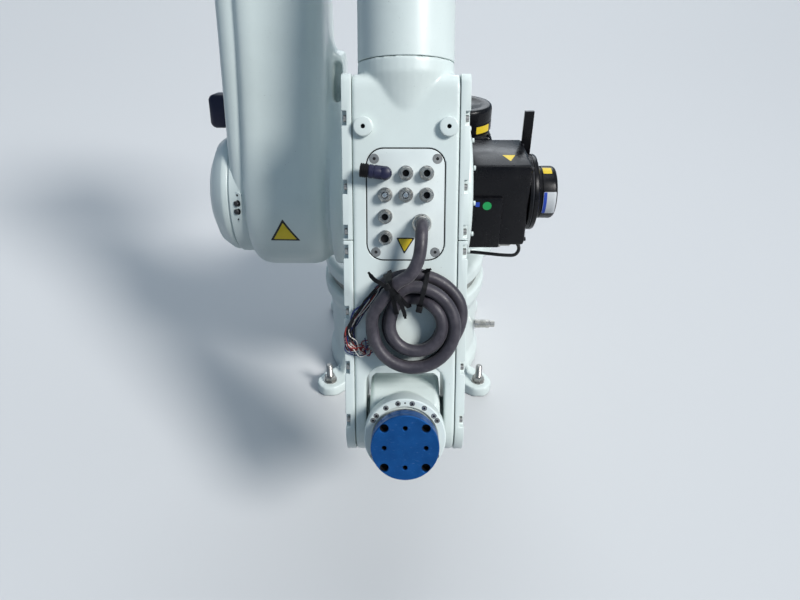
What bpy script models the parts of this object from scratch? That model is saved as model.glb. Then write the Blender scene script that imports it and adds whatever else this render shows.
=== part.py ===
"""Six-axis industrial robot arm, standing with its forearm folded down in front."""
import math

import bmesh
import bpy
from mathutils import Matrix, Vector

# Clearance between pieces that touch
GAP = 0.0003

# Stance: the shoulder, the elbow and the wrist
SHOULDER_FORWARD = 0.150
SHOULDER_HEIGHT = 0.530
LOWER_ARM_LENGTH = 0.800
LOWER_ARM_LEAN = 11.0
ELBOW_OFFSET = 0.165
FOREARM_LENGTH = 1.144
FOREARM_TILT = 23.3

# Base casting
FOOT_X = 0.185
FOOT_Y = 0.175
FOOT_RADIUS = 0.033
FOOT_THICKNESS = 0.028
FOOT_HOLE = 0.009
RIB_THICKNESS = 0.022
RIB_HEIGHT = 0.130
RIB_REACH = 0.028
RIB_TOE = 0.040
DRUM_RADIUS = 0.188
BASE_FLANGE_RADIUS = 0.200
BASE_FLANGE_THICKNESS = 0.030
BASE_HEIGHT = 0.255
REAR_BOX_WIDTH = 0.190
REAR_BOX_BOTTOM = 0.075
REAR_BOX_TOP = 0.205
REAR_BOX_REACH = 0.222
REAR_PANEL_THICKNESS = 0.005
REAR_PANEL_MARGIN = 0.008
CONNECTOR_WIDTH = 0.062
CONNECTOR_HEIGHT = 0.078
CONNECTOR_DEPTH = 0.034
CONNECTOR_SPACING = 0.084
SIDE_FITTING_RADIUS = 0.011
SIDE_FITTING_LENGTH = 0.050
SIDE_FITTING_Y = -0.060
SIDE_FITTING_Z = 0.120

# Turning ring and turret
RING_RADIUS = 0.184
RING_THICKNESS = 0.020
TURNTABLE_RADIUS = 0.196
TURNTABLE_THICKNESS = 0.040
COLUMN_HALF_WIDTH = 0.122
COLUMN_FRONT = 0.105
COLUMN_BACK = 0.105
SHOULDER_RADIUS = 0.140
SHOULDER_LEFT = 0.115
SHOULDER_RIGHT = 0.130
DECK_HEIGHT = 0.470
DECK_LEFT = 0.115
GEAR_HOUSING_RIM = 0.004
DECK_MARGIN = 0.018
REAR_COVER_HEIGHT = 0.120
MOTOR_CLEARANCE = 0.010

# Motors: flange side, body length, round end and encoder
J1_MOTOR_X = 0.132
J1_MOTOR_SIDE = 0.130
J1_MOTOR_LENGTH = 0.125
J1_CAP_RADIUS = 0.066
J1_CAP_LENGTH = 0.055
J2_MOTOR_HEIGHT = 0.176
J2_MOTOR_DEPTH = 0.150
J2_MOTOR_LENGTH = 0.118
J2_BELL_RADIUS = 0.078
J2_BELL_LENGTH = 0.021
J2_ENCODER_RADIUS = 0.054
J2_ENCODER_LENGTH = 0.040
J2_ADAPTOR_LENGTH = 0.064
J2_ADAPTOR_DEPTH = 0.009
J2_ADAPTOR_HEIGHT = 0.112
PLUG_RADIUS = 0.013
PLUG_START = 0.012
PLUG_LENGTH = 0.084
PLUG_FORWARD = 0.045
MOTOR_CABLE_RADIUS = 0.0045
MOTOR_CABLE_LOOP = 0.024
BRACKET_WIDTH = 0.066
BRACKET_POST = 0.020
BRACKET_SEAT = 0.035
BRACKET_HEIGHT = 0.110
BRACKET_THICKNESS = 0.009
J3_MOTOR_SIDE = 0.130
J3_MOTOR_LENGTH = 0.130
J3_ENCODER_RADIUS = 0.048
J3_ENCODER_LENGTH = 0.040
J4_MOTOR_SIDE = 0.100
J4_MOTOR_LENGTH = 0.120
J4_ENCODER_RADIUS = 0.040
J4_ENCODER_LENGTH = 0.035

# Lower arm, in its own frame with the shoulder axis at the origin
ARM_OUTER = 0.340
ARM_INNER = 0.145
ARM_LOW_RADIUS = 0.151
ARM_HIGH_RADIUS = 0.118
ARM_WAIST = 0.100
ARM_EDGE = 0.044
GUSSET_TOP = 0.235
GUSSET_RADIUS = 0.042
FLARE_HEIGHT = 0.075
FLARE_HALF_DEPTH = 0.034
POCKET_WALL = 0.006
POCKET_LOW = 0.185
POCKET_HIGH = 0.258
POCKET_DEPTH = 0.026
SHOULDER_COVER_RADIUS = 0.120
SHOULDER_COVER_DEPTH = 0.048
ELBOW_COVER_RADIUS = 0.088
ELBOW_COVER_DEPTH = 0.024
ELBOW_RING_RADIUS = 0.104
TERMINAL_HEIGHT = 0.165
TERMINAL_REACH = 0.046

# Elbow, in its own frame with the elbow axis at the origin
ELBOW_HALF_WIDTH = 0.115
ELBOW_HUB_RADIUS = 0.115
ELBOW_WEB_HALF_WIDTH = 0.085
ELBOW_WEB_HALF_HEIGHT = 0.100
BARREL_RADIUS = 0.108
BARREL_FRONT = 0.200
BARREL_BACK = 0.150

# Forearm, in its own frame with the wrist axis at the origin
TUBE_RADIUS = 0.074
TUBE_FLANGE_RADIUS = 0.096
TUBE_FLANGE_LENGTH = 0.016
TUBE_FLARE_LENGTH = 0.070
HOUSING_WIDTH = 0.190
HOUSING_DEPTH = 0.116
HOUSING_TOP = 0.542
SEAM_HEIGHT = 0.563
BLEND_TIP = 0.489
SIDE_COVER = 0.015
COVER_SPLIT = 0.299
FORK_GAP = 0.124
FORK_TOP = 0.100
FORK_CORNER = 0.030
HOUSING_CORNER = 0.014
COVER_EDGE = 0.003

# Connector panel on the housing's face
PANEL_HEIGHT = 0.352
PANEL_WIDTH = 0.117
PANEL_LENGTH = 0.166
PANEL_CORNER = 0.025
PANEL_THICKNESS = 0.004
PANEL_GROOVE = 0.0012
PORT_PITCH_X = 0.031
PORT_PITCH_Z = 0.032
PORT_LEFT = -0.031
PORT_TOP = 0.047
PORT_NUT = 0.0105
PORT_BORE = 0.0048
PORT_LENGTH = 0.016
GLAND_X = 0.024
GLAND_DROP = 0.028
GLAND_RADIUS = 0.015
GLAND_LENGTH = 0.018
BOSS_X = 0.063
BOSS_HEIGHT = 0.466
BOSS_RADIUS = 0.014
BOSS_LENGTH = 0.010
REAR_PLATE_WIDTH = 0.118
REAR_PLATE_LOW = 0.130
REAR_PLATE_HIGH = 0.470
REAR_PLATE_CORNER = 0.020
REAR_PLATE_THICKNESS = 0.005

# Cable that hangs from the gland, with its coil on the housing's face
CABLE_RADIUS = 0.0095
LEAD_DROP = 0.085
COIL_X = 0.012
COIL_CLEARANCE = 0.032
COIL_HOLE_SHARE = 0.417
COIL_THICKNESS = 0.040
COIL_EDGE = 0.008
COIL_SEAT_EDGE = 0.004

# Wrist and tool flange, measured out from the wrist axis
WRIST_WIDTH = 0.112
WRIST_DRUM_RADIUS = 0.068
WRIST_NECK_RADIUS = 0.054
WRIST_NECK_LENGTH = 0.076
WRIST_PIVOT_RADIUS = 0.030
WRIST_RING_RADIUS = 0.063
WRIST_RING_LENGTH = 0.030
FLANGE_RADIUS = 0.045
FLANGE_LENGTH = 0.012
PLATE_RADIUS = 0.051
PLATE_LENGTH = 0.025
PLATE_HOLE_PITCH = 0.031
PLATE_LARGE_HOLE = 0.0065
PLATE_SMALL_HOLE = 0.0036
PLATE_HOLE_DEPTH = 0.016


def clear_scene():
    for obj in list(bpy.data.objects):
        bpy.data.objects.remove(obj, do_unlink=True)


def make_collection(name):
    collection = bpy.data.collections.new(name)
    bpy.context.scene.collection.children.link(collection)
    return collection


def make_material(name, color, roughness, metallic=0.0):
    material = bpy.data.materials.new(name)
    material.use_nodes = True
    shader = material.node_tree.nodes["Principled BSDF"]
    shader.inputs["Base Color"].default_value = (*color, 1.0)
    shader.inputs["Roughness"].default_value = roughness
    shader.inputs["Metallic"].default_value = metallic
    return material


def make_frame(name, parent, location, tilt=0.0):
    """An empty on a joint's axis, turned about X, that carries its pieces."""
    frame = bpy.data.objects.new(name, None)
    PARTS.objects.link(frame)
    frame.parent = parent
    frame.location = location
    frame.rotation_euler = (math.radians(tilt), 0.0, 0.0)
    return frame


def add_object(name, data, parent, paint):
    obj = bpy.data.objects.new(name, data)
    obj.parent = parent
    if paint is None:
        CUTTERS.objects.link(obj)
        obj.hide_render = True
        obj.display_type = "WIRE"
    else:
        PARTS.objects.link(obj)
        obj.data.materials.append(PAINTS[paint])
    return obj


def shade(mesh):
    mesh.shade_smooth()
    mesh.set_sharp_from_angle(angle=math.radians(35))


def add_box(name, low, high, parent, paint=None, edge=0.0, steps=2):
    """A box between two corners, with its edges rounded."""
    size = Vector(high) - Vector(low)
    middle = (Vector(high) + Vector(low)) / 2
    bm = bmesh.new()
    bmesh.ops.create_cube(bm, size=1.0)
    bmesh.ops.transform(bm, matrix=Matrix.Diagonal((*size, 1.0)), verts=bm.verts)
    bmesh.ops.translate(bm, vec=middle, verts=bm.verts)
    mesh = bpy.data.meshes.new(name)
    bm.to_mesh(mesh)
    bm.free()
    obj = add_object(name, mesh, parent, paint)
    if edge:
        bevel = obj.modifiers.new("rounded edges", "BEVEL")
        bevel.width = edge
        bevel.segments = steps
    return obj


AXIS_TURN = {
    "X": Matrix.Rotation(math.radians(90), 4, "Y"),
    "-X": Matrix.Rotation(math.radians(-90), 4, "Y"),
    "-Y": Matrix.Rotation(math.radians(90), 4, "X"),
    "Z": Matrix.Identity(4),
}


def add_turned(name, profile, parent, paint=None, axis="Z", at=(0, 0, 0), steps=32):
    """A turned shape: (radius, height) pairs from the top down, both ends on the axis."""
    bm = bmesh.new()
    verts = [bm.verts.new((radius, 0.0, height)) for radius, height in profile]
    for first, second in zip(verts, verts[1:]):
        bm.edges.new((first, second))
    mesh = bpy.data.meshes.new(name)
    bm.to_mesh(mesh)
    bm.free()
    obj = add_object(name, mesh, parent, paint)
    obj.matrix_local = Matrix.Translation(at) @ AXIS_TURN[axis]
    screw = obj.modifiers.new("turned", "SCREW")
    screw.axis = "Z"
    screw.steps = steps
    screw.render_steps = steps
    screw.use_merge_vertices = True
    screw.merge_threshold = 0.00001
    screw.use_smooth_shade = True
    return obj


def add_rod(name, radius, start, end, parent, paint=None, axis="Z", at=(0, 0, 0), edge=0.0, steps=32):
    """A cylinder between two places along its axis, with chamfered rims."""
    if edge:
        profile = [(0, end), (radius - edge, end), (radius, end - edge)]
        profile += [(radius, start + edge), (radius - edge, start), (0, start)]
    else:
        profile = [(0, end), (radius, end), (radius, start), (0, start)]
    return add_turned(name, profile, parent, paint, axis, at, steps)


PLANE_TURN = {
    "side": Matrix(((0, 0, 1, 0), (1, 0, 0, 0), (0, 1, 0, 0), (0, 0, 0, 1))),
    "front": Matrix(((1, 0, 0, 0), (0, 0, -1, 0), (0, 1, 0, 0), (0, 0, 0, 1))),
    "top": Matrix.Identity(4),
}


def add_plate(name, outline, start, end, parent, paint=None, plane="side", edge=0.0, steps=2):
    """A flat outline given thickness. side: along X from start to end; front: along Y; top: along Z."""
    curve = bpy.data.curves.new(name, "CURVE")
    curve.dimensions = "2D"
    curve.fill_mode = "BOTH"
    curve.extrude = (end - start) / 2 - edge
    curve.bevel_depth = edge
    curve.bevel_resolution = steps
    curve.offset = -edge
    spline = curve.splines.new("POLY")
    spline.points.add(len(outline) - 1)
    for point, (across, along) in zip(spline.points, outline):
        point.co = (across, along, 0.0, 1.0)
    spline.use_cyclic_u = True
    drawn = bpy.data.objects.new(name + "_outline", curve)
    CUTTERS.objects.link(drawn)
    graph = bpy.context.evaluated_depsgraph_get()
    mesh = bpy.data.meshes.new_from_object(drawn.evaluated_get(graph))
    bpy.data.objects.remove(drawn)
    bpy.data.curves.remove(curve)
    middle = (start + end) / 2
    shift = {"side": (middle, 0, 0), "front": (0, middle, 0), "top": (0, 0, middle)}[plane]
    mesh.transform(Matrix.Translation(shift) @ PLANE_TURN[plane])
    bm = bmesh.new()
    bm.from_mesh(mesh)
    bmesh.ops.remove_doubles(bm, verts=bm.verts, dist=0.00001)
    bmesh.ops.recalc_face_normals(bm, faces=bm.faces)
    bm.to_mesh(mesh)
    bm.free()
    shade(mesh)
    return add_object(name, mesh, parent, paint)


def add_tube(name, points, radius, parent, paint, resolution=2):
    """A round tube along a list of points, with its ends closed."""
    curve = bpy.data.curves.new(name, "CURVE")
    curve.dimensions = "3D"
    curve.bevel_depth = radius
    curve.bevel_resolution = resolution
    curve.use_fill_caps = True
    spline = curve.splines.new("POLY")
    spline.points.add(len(points) - 1)
    for point, place in zip(spline.points, points):
        point.co = (*place, 1.0)
    return add_object(name, curve, parent, paint)


def cut(obj, *cutters):
    for cutter in cutters:
        step = obj.modifiers.new("cut " + cutter.name, "BOOLEAN")
        step.operation = "DIFFERENCE"
        step.object = cutter


def fuse(obj, *others):
    for other in others:
        step = obj.modifiers.new("join " + other.name, "BOOLEAN")
        step.operation = "UNION"
        step.object = other


def arc(center, radius, start, end, count):
    """Points on an arc, angles in degrees, both ends included."""
    turns = [math.radians(start + (end - start) * k / count) for k in range(count + 1)]
    return [(center[0] + radius * math.cos(t), center[1] + radius * math.sin(t)) for t in turns]


def rounded_rectangle(left, right, low, high, radius, count=5):
    outline = arc((right - radius, low + radius), radius, -90, 0, count)
    outline += arc((right - radius, high - radius), radius, 0, 90, count)
    outline += arc((left + radius, high - radius), radius, 90, 180, count)
    outline += arc((left + radius, low + radius), radius, 180, 270, count)
    return outline


def smooth_route(route, spacing):
    """Points at even steps on a Catmull-Rom curve through the route's own points."""
    places = [Vector(p) for p in route]
    padded = [2 * places[0] - places[1]] + places + [2 * places[-1] - places[-2]]
    points = []
    for a, b, c, d in zip(padded, padded[1:], padded[2:], padded[3:]):
        count = max(1, round((c - b).length / spacing))
        for k in range(count):
            t = k / count
            points.append(0.5 * (2 * b + (c - a) * t + (2 * a - 5 * b + 4 * c - d) * t * t
                                 + (3 * b - a - 3 * c + d) * t ** 3))
    return points + [places[-1]]


def foot_cross():
    """Outline of two crossed bars that end in the four feet."""
    lean = math.atan2(FOOT_Y, FOOT_X)
    corners = [(FOOT_X, FOOT_Y, lean), (-FOOT_X, FOOT_Y, math.pi - lean),
               (-FOOT_X, -FOOT_Y, math.pi + lean), (FOOT_X, -FOOT_Y, -lean)]
    crotches = [(0, FOOT_RADIUS / math.cos(lean)), (-FOOT_RADIUS / math.sin(lean), 0),
                (0, -FOOT_RADIUS / math.cos(lean)), (FOOT_RADIUS / math.sin(lean), 0)]
    outline = []
    for (x, y, turn), crotch in zip(corners, crotches):
        heading = math.degrees(turn)
        outline += arc((x, y), FOOT_RADIUS, heading - 90, heading + 90, 8)
        outline.append(crotch)
    return outline


def build_base(floor):
    drum = [(0, BASE_HEIGHT), (BASE_FLANGE_RADIUS, BASE_HEIGHT),
            (BASE_FLANGE_RADIUS, BASE_HEIGHT - BASE_FLANGE_THICKNESS),
            (DRUM_RADIUS, BASE_HEIGHT - 2 * BASE_FLANGE_THICKNESS),
            (DRUM_RADIUS, 2 * FOOT_THICKNESS), (DRUM_RADIUS + 0.010, FOOT_THICKNESS),
            (DRUM_RADIUS + 0.010, 0), (0, 0)]
    casting = add_turned("base_casting", drum, floor, "mint", steps=40)
    feet = add_plate("feet_form", foot_cross(), 0, FOOT_THICKNESS, floor, plane="top")
    half = REAR_BOX_WIDTH / 2
    box = add_box("rear_box_form", (-half, 0.05, REAR_BOX_BOTTOM), (half, REAR_BOX_REACH, REAR_BOX_TOP), floor)
    fuse(casting, feet, box, *foot_ribs(floor))
    for k, (x, y) in enumerate(((-1, -1), (1, -1), (1, 1), (-1, 1))):
        at = (x * FOOT_X, y * FOOT_Y, 0)
        cut(casting, add_rod(f"foot_hole_{k}", FOOT_HOLE, -0.01, 0.06, floor, at=at, steps=12))
    panel_half = half - REAR_PANEL_MARGIN
    panel = rounded_rectangle(-panel_half, panel_half, REAR_BOX_BOTTOM + REAR_PANEL_MARGIN,
                              REAR_BOX_TOP - REAR_PANEL_MARGIN, 0.008)
    panel_back = REAR_BOX_REACH + GAP + REAR_PANEL_THICKNESS
    add_plate("base_rear_panel", panel, REAR_BOX_REACH + GAP, panel_back, floor, "mint", "front")
    middle = (REAR_BOX_TOP + REAR_BOX_BOTTOM) / 2
    for side, word in ((-1, "power"), (1, "signal")):
        x = side * CONNECTOR_SPACING / 2
        low = (x - CONNECTOR_WIDTH / 2, panel_back + GAP, middle - CONNECTOR_HEIGHT / 2)
        high = (x + CONNECTOR_WIDTH / 2, panel_back + GAP + CONNECTOR_DEPTH, middle + CONNECTOR_HEIGHT / 2)
        add_box(f"base_{word}_connector", low, high, floor, "grey metal", 0.006)
    add_side_fitting(floor)


def foot_ribs(floor):
    """Upright ribs that run down the drum towards each foot."""
    inner, outer = DRUM_RADIUS * 0.7, DRUM_RADIUS + RIB_REACH
    outline = [(inner, 0), (outer, 0), (outer, RIB_TOE), (DRUM_RADIUS, RIB_HEIGHT), (inner, RIB_HEIGHT)]
    lean = math.degrees(math.atan2(FOOT_Y, FOOT_X))
    ribs = []
    for k, turn in enumerate((lean, 180 - lean, 180 + lean, -lean)):
        rib = add_plate(f"rib_form_{k}", outline, -RIB_THICKNESS / 2, RIB_THICKNESS / 2, floor, plane="front")
        rib.rotation_euler = (0.0, 0.0, math.radians(turn))
        ribs.append(rib)
    return ribs


def add_side_fitting(floor):
    start = math.sqrt(DRUM_RADIUS ** 2 - (abs(SIDE_FITTING_Y) - SIDE_FITTING_RADIUS) ** 2) + GAP
    end = start + SIDE_FITTING_LENGTH
    profile = [(0, end), (SIDE_FITTING_RADIUS * 0.8, end), (SIDE_FITTING_RADIUS * 0.8, end - 0.012),
               (SIDE_FITTING_RADIUS, end - 0.012), (SIDE_FITTING_RADIUS, start), (0, start)]
    at = (0, SIDE_FITTING_Y, SIDE_FITTING_Z)
    add_turned("base_side_fitting", profile, floor, "grey metal", "X", at, 12)


def build_turret(turret):
    """Pieces that turn about the vertical axis. The frame's origin is on the floor under it."""
    motor_y = SHOULDER_RADIUS - SHOULDER_FORWARD + MOTOR_CLEARANCE + J1_MOTOR_SIDE / 2
    deck_back = motor_y + J1_MOTOR_SIDE / 2 + DECK_MARGIN
    bottom = BASE_HEIGHT + GAP
    add_rod("turning_ring", RING_RADIUS, bottom, bottom + RING_THICKNESS, turret, "steel", steps=40)
    table = bottom + RING_THICKNESS + GAP
    casting = add_rod("turret_casting", TURNTABLE_RADIUS, table, table + TURNTABLE_THICKNESS, turret,
                      "mint", edge=0.008, steps=40)
    shoulder_y = -SHOULDER_FORWARD
    column = add_box("column_form", (-COLUMN_HALF_WIDTH + 0.008, shoulder_y - COLUMN_FRONT, table + 0.002),
                     (COLUMN_HALF_WIDTH, shoulder_y + COLUMN_BACK, SHOULDER_HEIGHT), turret, edge=0.020)
    hub = add_rod("shoulder_form", SHOULDER_RADIUS, -SHOULDER_LEFT, SHOULDER_RIGHT, turret, axis="X",
                  at=(0, shoulder_y, SHOULDER_HEIGHT), edge=0.006)
    deck_front = shoulder_y + J2_MOTOR_DEPTH / 2 + MOTOR_CLEARANCE
    deck = add_box("deck_form", (-DECK_LEFT, deck_front, table + 0.002), (J1_MOTOR_X, deck_back, DECK_HEIGHT),
                   turret, edge=0.012)
    pot = add_rod("gear_housing_form", J1_MOTOR_SIDE / math.sqrt(2) + GEAR_HOUSING_RIM, table + 0.004,
                  DECK_HEIGHT, turret, at=(J1_MOTOR_X, motor_y, 0), edge=0.006, steps=28)
    fuse(casting, column, hub, deck, pot)
    cover_low = (-DECK_LEFT + 0.006, shoulder_y + SHOULDER_RADIUS + 0.006, DECK_HEIGHT + GAP)
    cover_high = (J1_MOTOR_X - J1_MOTOR_SIDE / 2 - 0.008, deck_back - 0.008, DECK_HEIGHT + REAR_COVER_HEIGHT)
    add_box("turret_rear_cover", cover_low, cover_high, turret, "mint", 0.010)
    build_j1_motor(turret, motor_y)
    build_j2_motor(turret)


def build_j1_motor(turret, motor_y):
    half = J1_MOTOR_SIDE / 2
    low = (J1_MOTOR_X - half, motor_y - half, DECK_HEIGHT + GAP)
    high = (J1_MOTOR_X + half, motor_y + half, DECK_HEIGHT + GAP + J1_MOTOR_LENGTH)
    add_box("j1_motor", low, high, turret, "black", 0.012)
    top = high[2] + GAP
    add_rod("j1_motor_cap", J1_CAP_RADIUS, top, top + J1_CAP_LENGTH, turret, "black",
            at=(J1_MOTOR_X, motor_y, 0), edge=0.005)


def build_j2_motor(turret):
    start = SHOULDER_RIGHT + GAP
    end = start + J2_MOTOR_LENGTH
    low = (start, -SHOULDER_FORWARD - J2_MOTOR_DEPTH / 2, SHOULDER_HEIGHT - J2_MOTOR_HEIGHT / 2)
    high = (end, -SHOULDER_FORWARD + J2_MOTOR_DEPTH / 2, SHOULDER_HEIGHT + J2_MOTOR_HEIGHT / 2)
    motor = add_box("j2_motor", low, high, turret, "black", 0.008)
    adaptor_low = (low[0], low[1] - J2_ADAPTOR_DEPTH, low[2])
    adaptor_high = (low[0] + J2_ADAPTOR_LENGTH, low[1] + J2_MOTOR_DEPTH / 2, low[2] + J2_ADAPTOR_HEIGHT)
    fuse(motor, add_box("motor_adaptor_form", adaptor_low, adaptor_high, turret, edge=0.004))
    build_motor_plug(turret, low)
    build_motor_bracket(turret, high)
    at = (0, -SHOULDER_FORWARD, SHOULDER_HEIGHT)
    bell_end = end + GAP + J2_BELL_LENGTH
    add_rod("j2_motor_bell", min(J2_BELL_RADIUS, J2_MOTOR_HEIGHT / 2), end + GAP, bell_end, turret, "black",
            "X", at, 0.003)
    add_rod("j2_motor_encoder", J2_ENCODER_RADIUS, bell_end + GAP, bell_end + GAP + J2_ENCODER_LENGTH,
            turret, "black", "X", at, 0.004)


def build_motor_plug(turret, corner):
    """The shoulder motor's plug, under its body, and the cable that turns back to the column."""
    start = corner[0] + PLUG_START
    end = start + PLUG_LENGTH
    y = corner[1] + PLUG_FORWARD
    z = corner[2] - PLUG_RADIUS - GAP
    profile = [(0, end), (PLUG_RADIUS * 0.8, end), (PLUG_RADIUS * 0.8, end - PLUG_LENGTH / 4),
               (PLUG_RADIUS, end - PLUG_LENGTH / 4), (PLUG_RADIUS, start), (0, start)]
    add_turned("j2_motor_plug", profile, turret, "grey metal", "X", (0, y, z), 16)
    loop = MOTOR_CABLE_LOOP
    low = z - PLUG_RADIUS - loop / 2
    route = [(end + GAP, y, z), (end + loop / 4, y, z), (end + loop * 0.9, y - loop / 4, z - loop / 3),
             (end + loop * 0.8, y - loop / 3, low + loop / 6), (end - loop / 2, y - loop / 3, low - loop / 6),
             (start + loop / 4, y - loop / 4, low), (SHOULDER_RIGHT + GAP + loop / 3, y, low),
             (SHOULDER_RIGHT + GAP, y, low)]
    add_tube("j2_motor_cable", smooth_route(route, 0.008), MOTOR_CABLE_RADIUS, turret, "cable", 1)


def build_motor_bracket(turret, corner):
    """An upright plate behind the shoulder motor."""
    right = corner[0] + BRACKET_POST
    left = right - BRACKET_WIDTH
    low = corner[2] - BRACKET_SEAT * 1.5
    outline = [(left, low), (right, low), (right, low + BRACKET_HEIGHT),
               (right - BRACKET_POST, low + BRACKET_HEIGHT), (right - BRACKET_POST, low + BRACKET_SEAT),
               (left, low + BRACKET_SEAT)]
    add_plate("motor_cable_bracket", outline, corner[1] + GAP, corner[1] + GAP + BRACKET_THICKNESS, turret,
              "black", "front")


def arm_outline():
    """Side view of the lower arm: two bosses joined by a long waisted body."""
    low_end, high_end = 8.0, -12.0
    outline = arc((0, 0), ARM_LOW_RADIUS, 180 - low_end, 360 + low_end, 24)
    right = outline[-1]
    upper = arc((0, LOWER_ARM_LENGTH), ARM_HIGH_RADIUS, high_end, 180 - high_end, 20)
    middle = LOWER_ARM_LENGTH * 0.47
    for k in range(1, 8):
        t = k / 8
        outline.append(bend(right, (ARM_WAIST, middle), upper[0], t))
    outline += upper
    for k in range(1, 8):
        t = k / 8
        outline.append(bend(upper[-1], (-ARM_WAIST, middle), outline[0], t))
    return outline


def bend(first, pull, last, t):
    """A point on the curve from first to last that is drawn towards pull."""
    weights = ((1 - t) ** 2, 2 * t * (1 - t), t * t)
    return tuple(sum(w * p[i] for w, p in zip(weights, (first, pull, last))) for i in range(2))


def build_lower_arm(arm):
    add_plate("lower_arm_casting", arm_outline(), -ARM_OUTER, -ARM_INNER, arm, "mint", edge=ARM_EDGE, steps=3)
    inner = -SHOULDER_LEFT - GAP
    seat = -ARM_INNER + GAP
    gusset_lean = math.degrees(math.asin((ARM_LOW_RADIUS - GUSSET_RADIUS) / GUSSET_TOP))
    drop = arc((0, 0), ARM_LOW_RADIUS, 180 - gusset_lean, 360 + gusset_lean, 28)
    drop += arc((0, GUSSET_TOP), GUSSET_RADIUS, gusset_lean, 180 - gusset_lean, 8)
    boss = add_plate("lower_arm_shoulder_boss", drop, seat, inner, arm, "mint", edge=0.004, steps=1)
    add_flare(boss, seat, inner, arm)
    add_rod("lower_arm_elbow_ring", ELBOW_RING_RADIUS, seat, -ELBOW_HALF_WIDTH - GAP, arm, "mint", "X",
            (0, 0, LOWER_ARM_LENGTH))
    outer = ARM_OUTER + GAP
    dome = [(0, outer + SHOULDER_COVER_DEPTH), (SHOULDER_COVER_RADIUS * 0.62, outer + SHOULDER_COVER_DEPTH),
            (SHOULDER_COVER_RADIUS * 0.86, outer + SHOULDER_COVER_DEPTH * 0.72),
            (SHOULDER_COVER_RADIUS, outer + SHOULDER_COVER_DEPTH * 0.25),
            (SHOULDER_COVER_RADIUS, outer), (0, outer)]
    add_turned("shoulder_cover", dome, arm, "mint", "-X", steps=36)
    add_rod("elbow_side_cover", ELBOW_COVER_RADIUS, outer, outer + ELBOW_COVER_DEPTH, arm, "mint", "-X",
            (0, 0, LOWER_ARM_LENGTH), 0.008)
    add_box("arm_side_terminal", (-outer - TERMINAL_REACH, -0.030, TERMINAL_HEIGHT - 0.032),
            (-outer, 0.030, TERMINAL_HEIGHT + 0.032), arm, "navy", 0.010)


def add_flare(boss, seat, inner, arm):
    """The boss's top sweeps into the arm, with a pocket in its front and back."""
    rim = GUSSET_TOP + GUSSET_RADIUS * 0.7
    tip = (inner - 0.001, rim)
    root = (seat, rim + FLARE_HEIGHT)
    sweep = [bend(tip, (seat, rim + 0.004), root, k / 6) for k in range(7)]
    outline = [(seat, GUSSET_TOP), (inner - 0.001, GUSSET_TOP)] + sweep
    fuse(boss, add_plate("flare_form", outline, -FLARE_HALF_DEPTH, FLARE_HALF_DEPTH, arm, plane="front"))
    for side, word in ((-1, "front"), (1, "back")):
        mouth = side * (GUSSET_RADIUS + 0.03)
        floor = side * (GUSSET_RADIUS - POCKET_DEPTH)
        low = (seat + POCKET_WALL, min(mouth, floor), POCKET_LOW)
        high = (inner - POCKET_WALL, max(mouth, floor), POCKET_HIGH)
        cut(boss, add_box(f"{word}_pocket", low, high, arm, edge=0.005))


def build_elbow(elbow):
    axis = (0, -ELBOW_OFFSET, 0)
    casting = add_rod("elbow_casting", BARREL_RADIUS, -BARREL_FRONT, BARREL_BACK, elbow, "mint", at=axis,
                      edge=0.010)
    hub = add_rod("elbow_hub_form", ELBOW_HUB_RADIUS, -ELBOW_HALF_WIDTH, ELBOW_HALF_WIDTH, elbow, axis="X",
                  edge=0.006)
    wide, high = ELBOW_WEB_HALF_WIDTH, ELBOW_WEB_HALF_HEIGHT
    web = add_box("elbow_web_form", (-wide, -ELBOW_OFFSET, -high), (wide, 0, high), elbow, edge=0.010)
    fuse(casting, hub, web)
    start = ELBOW_HALF_WIDTH + GAP
    half = J3_MOTOR_SIDE / 2
    add_box("j3_motor", (start, -half, -half), (start + J3_MOTOR_LENGTH, half, half), elbow, "black", 0.010)
    end = start + J3_MOTOR_LENGTH + GAP
    add_rod("j3_motor_encoder", J3_ENCODER_RADIUS, end, end + J3_ENCODER_LENGTH, elbow, "black", "X",
            (0, 0, 0), 0.004)
    start = BARREL_BACK + GAP
    half = J4_MOTOR_SIDE / 2
    add_box("j4_motor", (-half, -ELBOW_OFFSET - half, start),
            (half, -ELBOW_OFFSET + half, start + J4_MOTOR_LENGTH), elbow, "black", 0.008)
    end = start + J4_MOTOR_LENGTH + GAP
    add_rod("j4_motor_encoder", J4_ENCODER_RADIUS, end, end + J4_ENCODER_LENGTH, elbow, "black",
            at=axis, edge=0.004)


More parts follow.
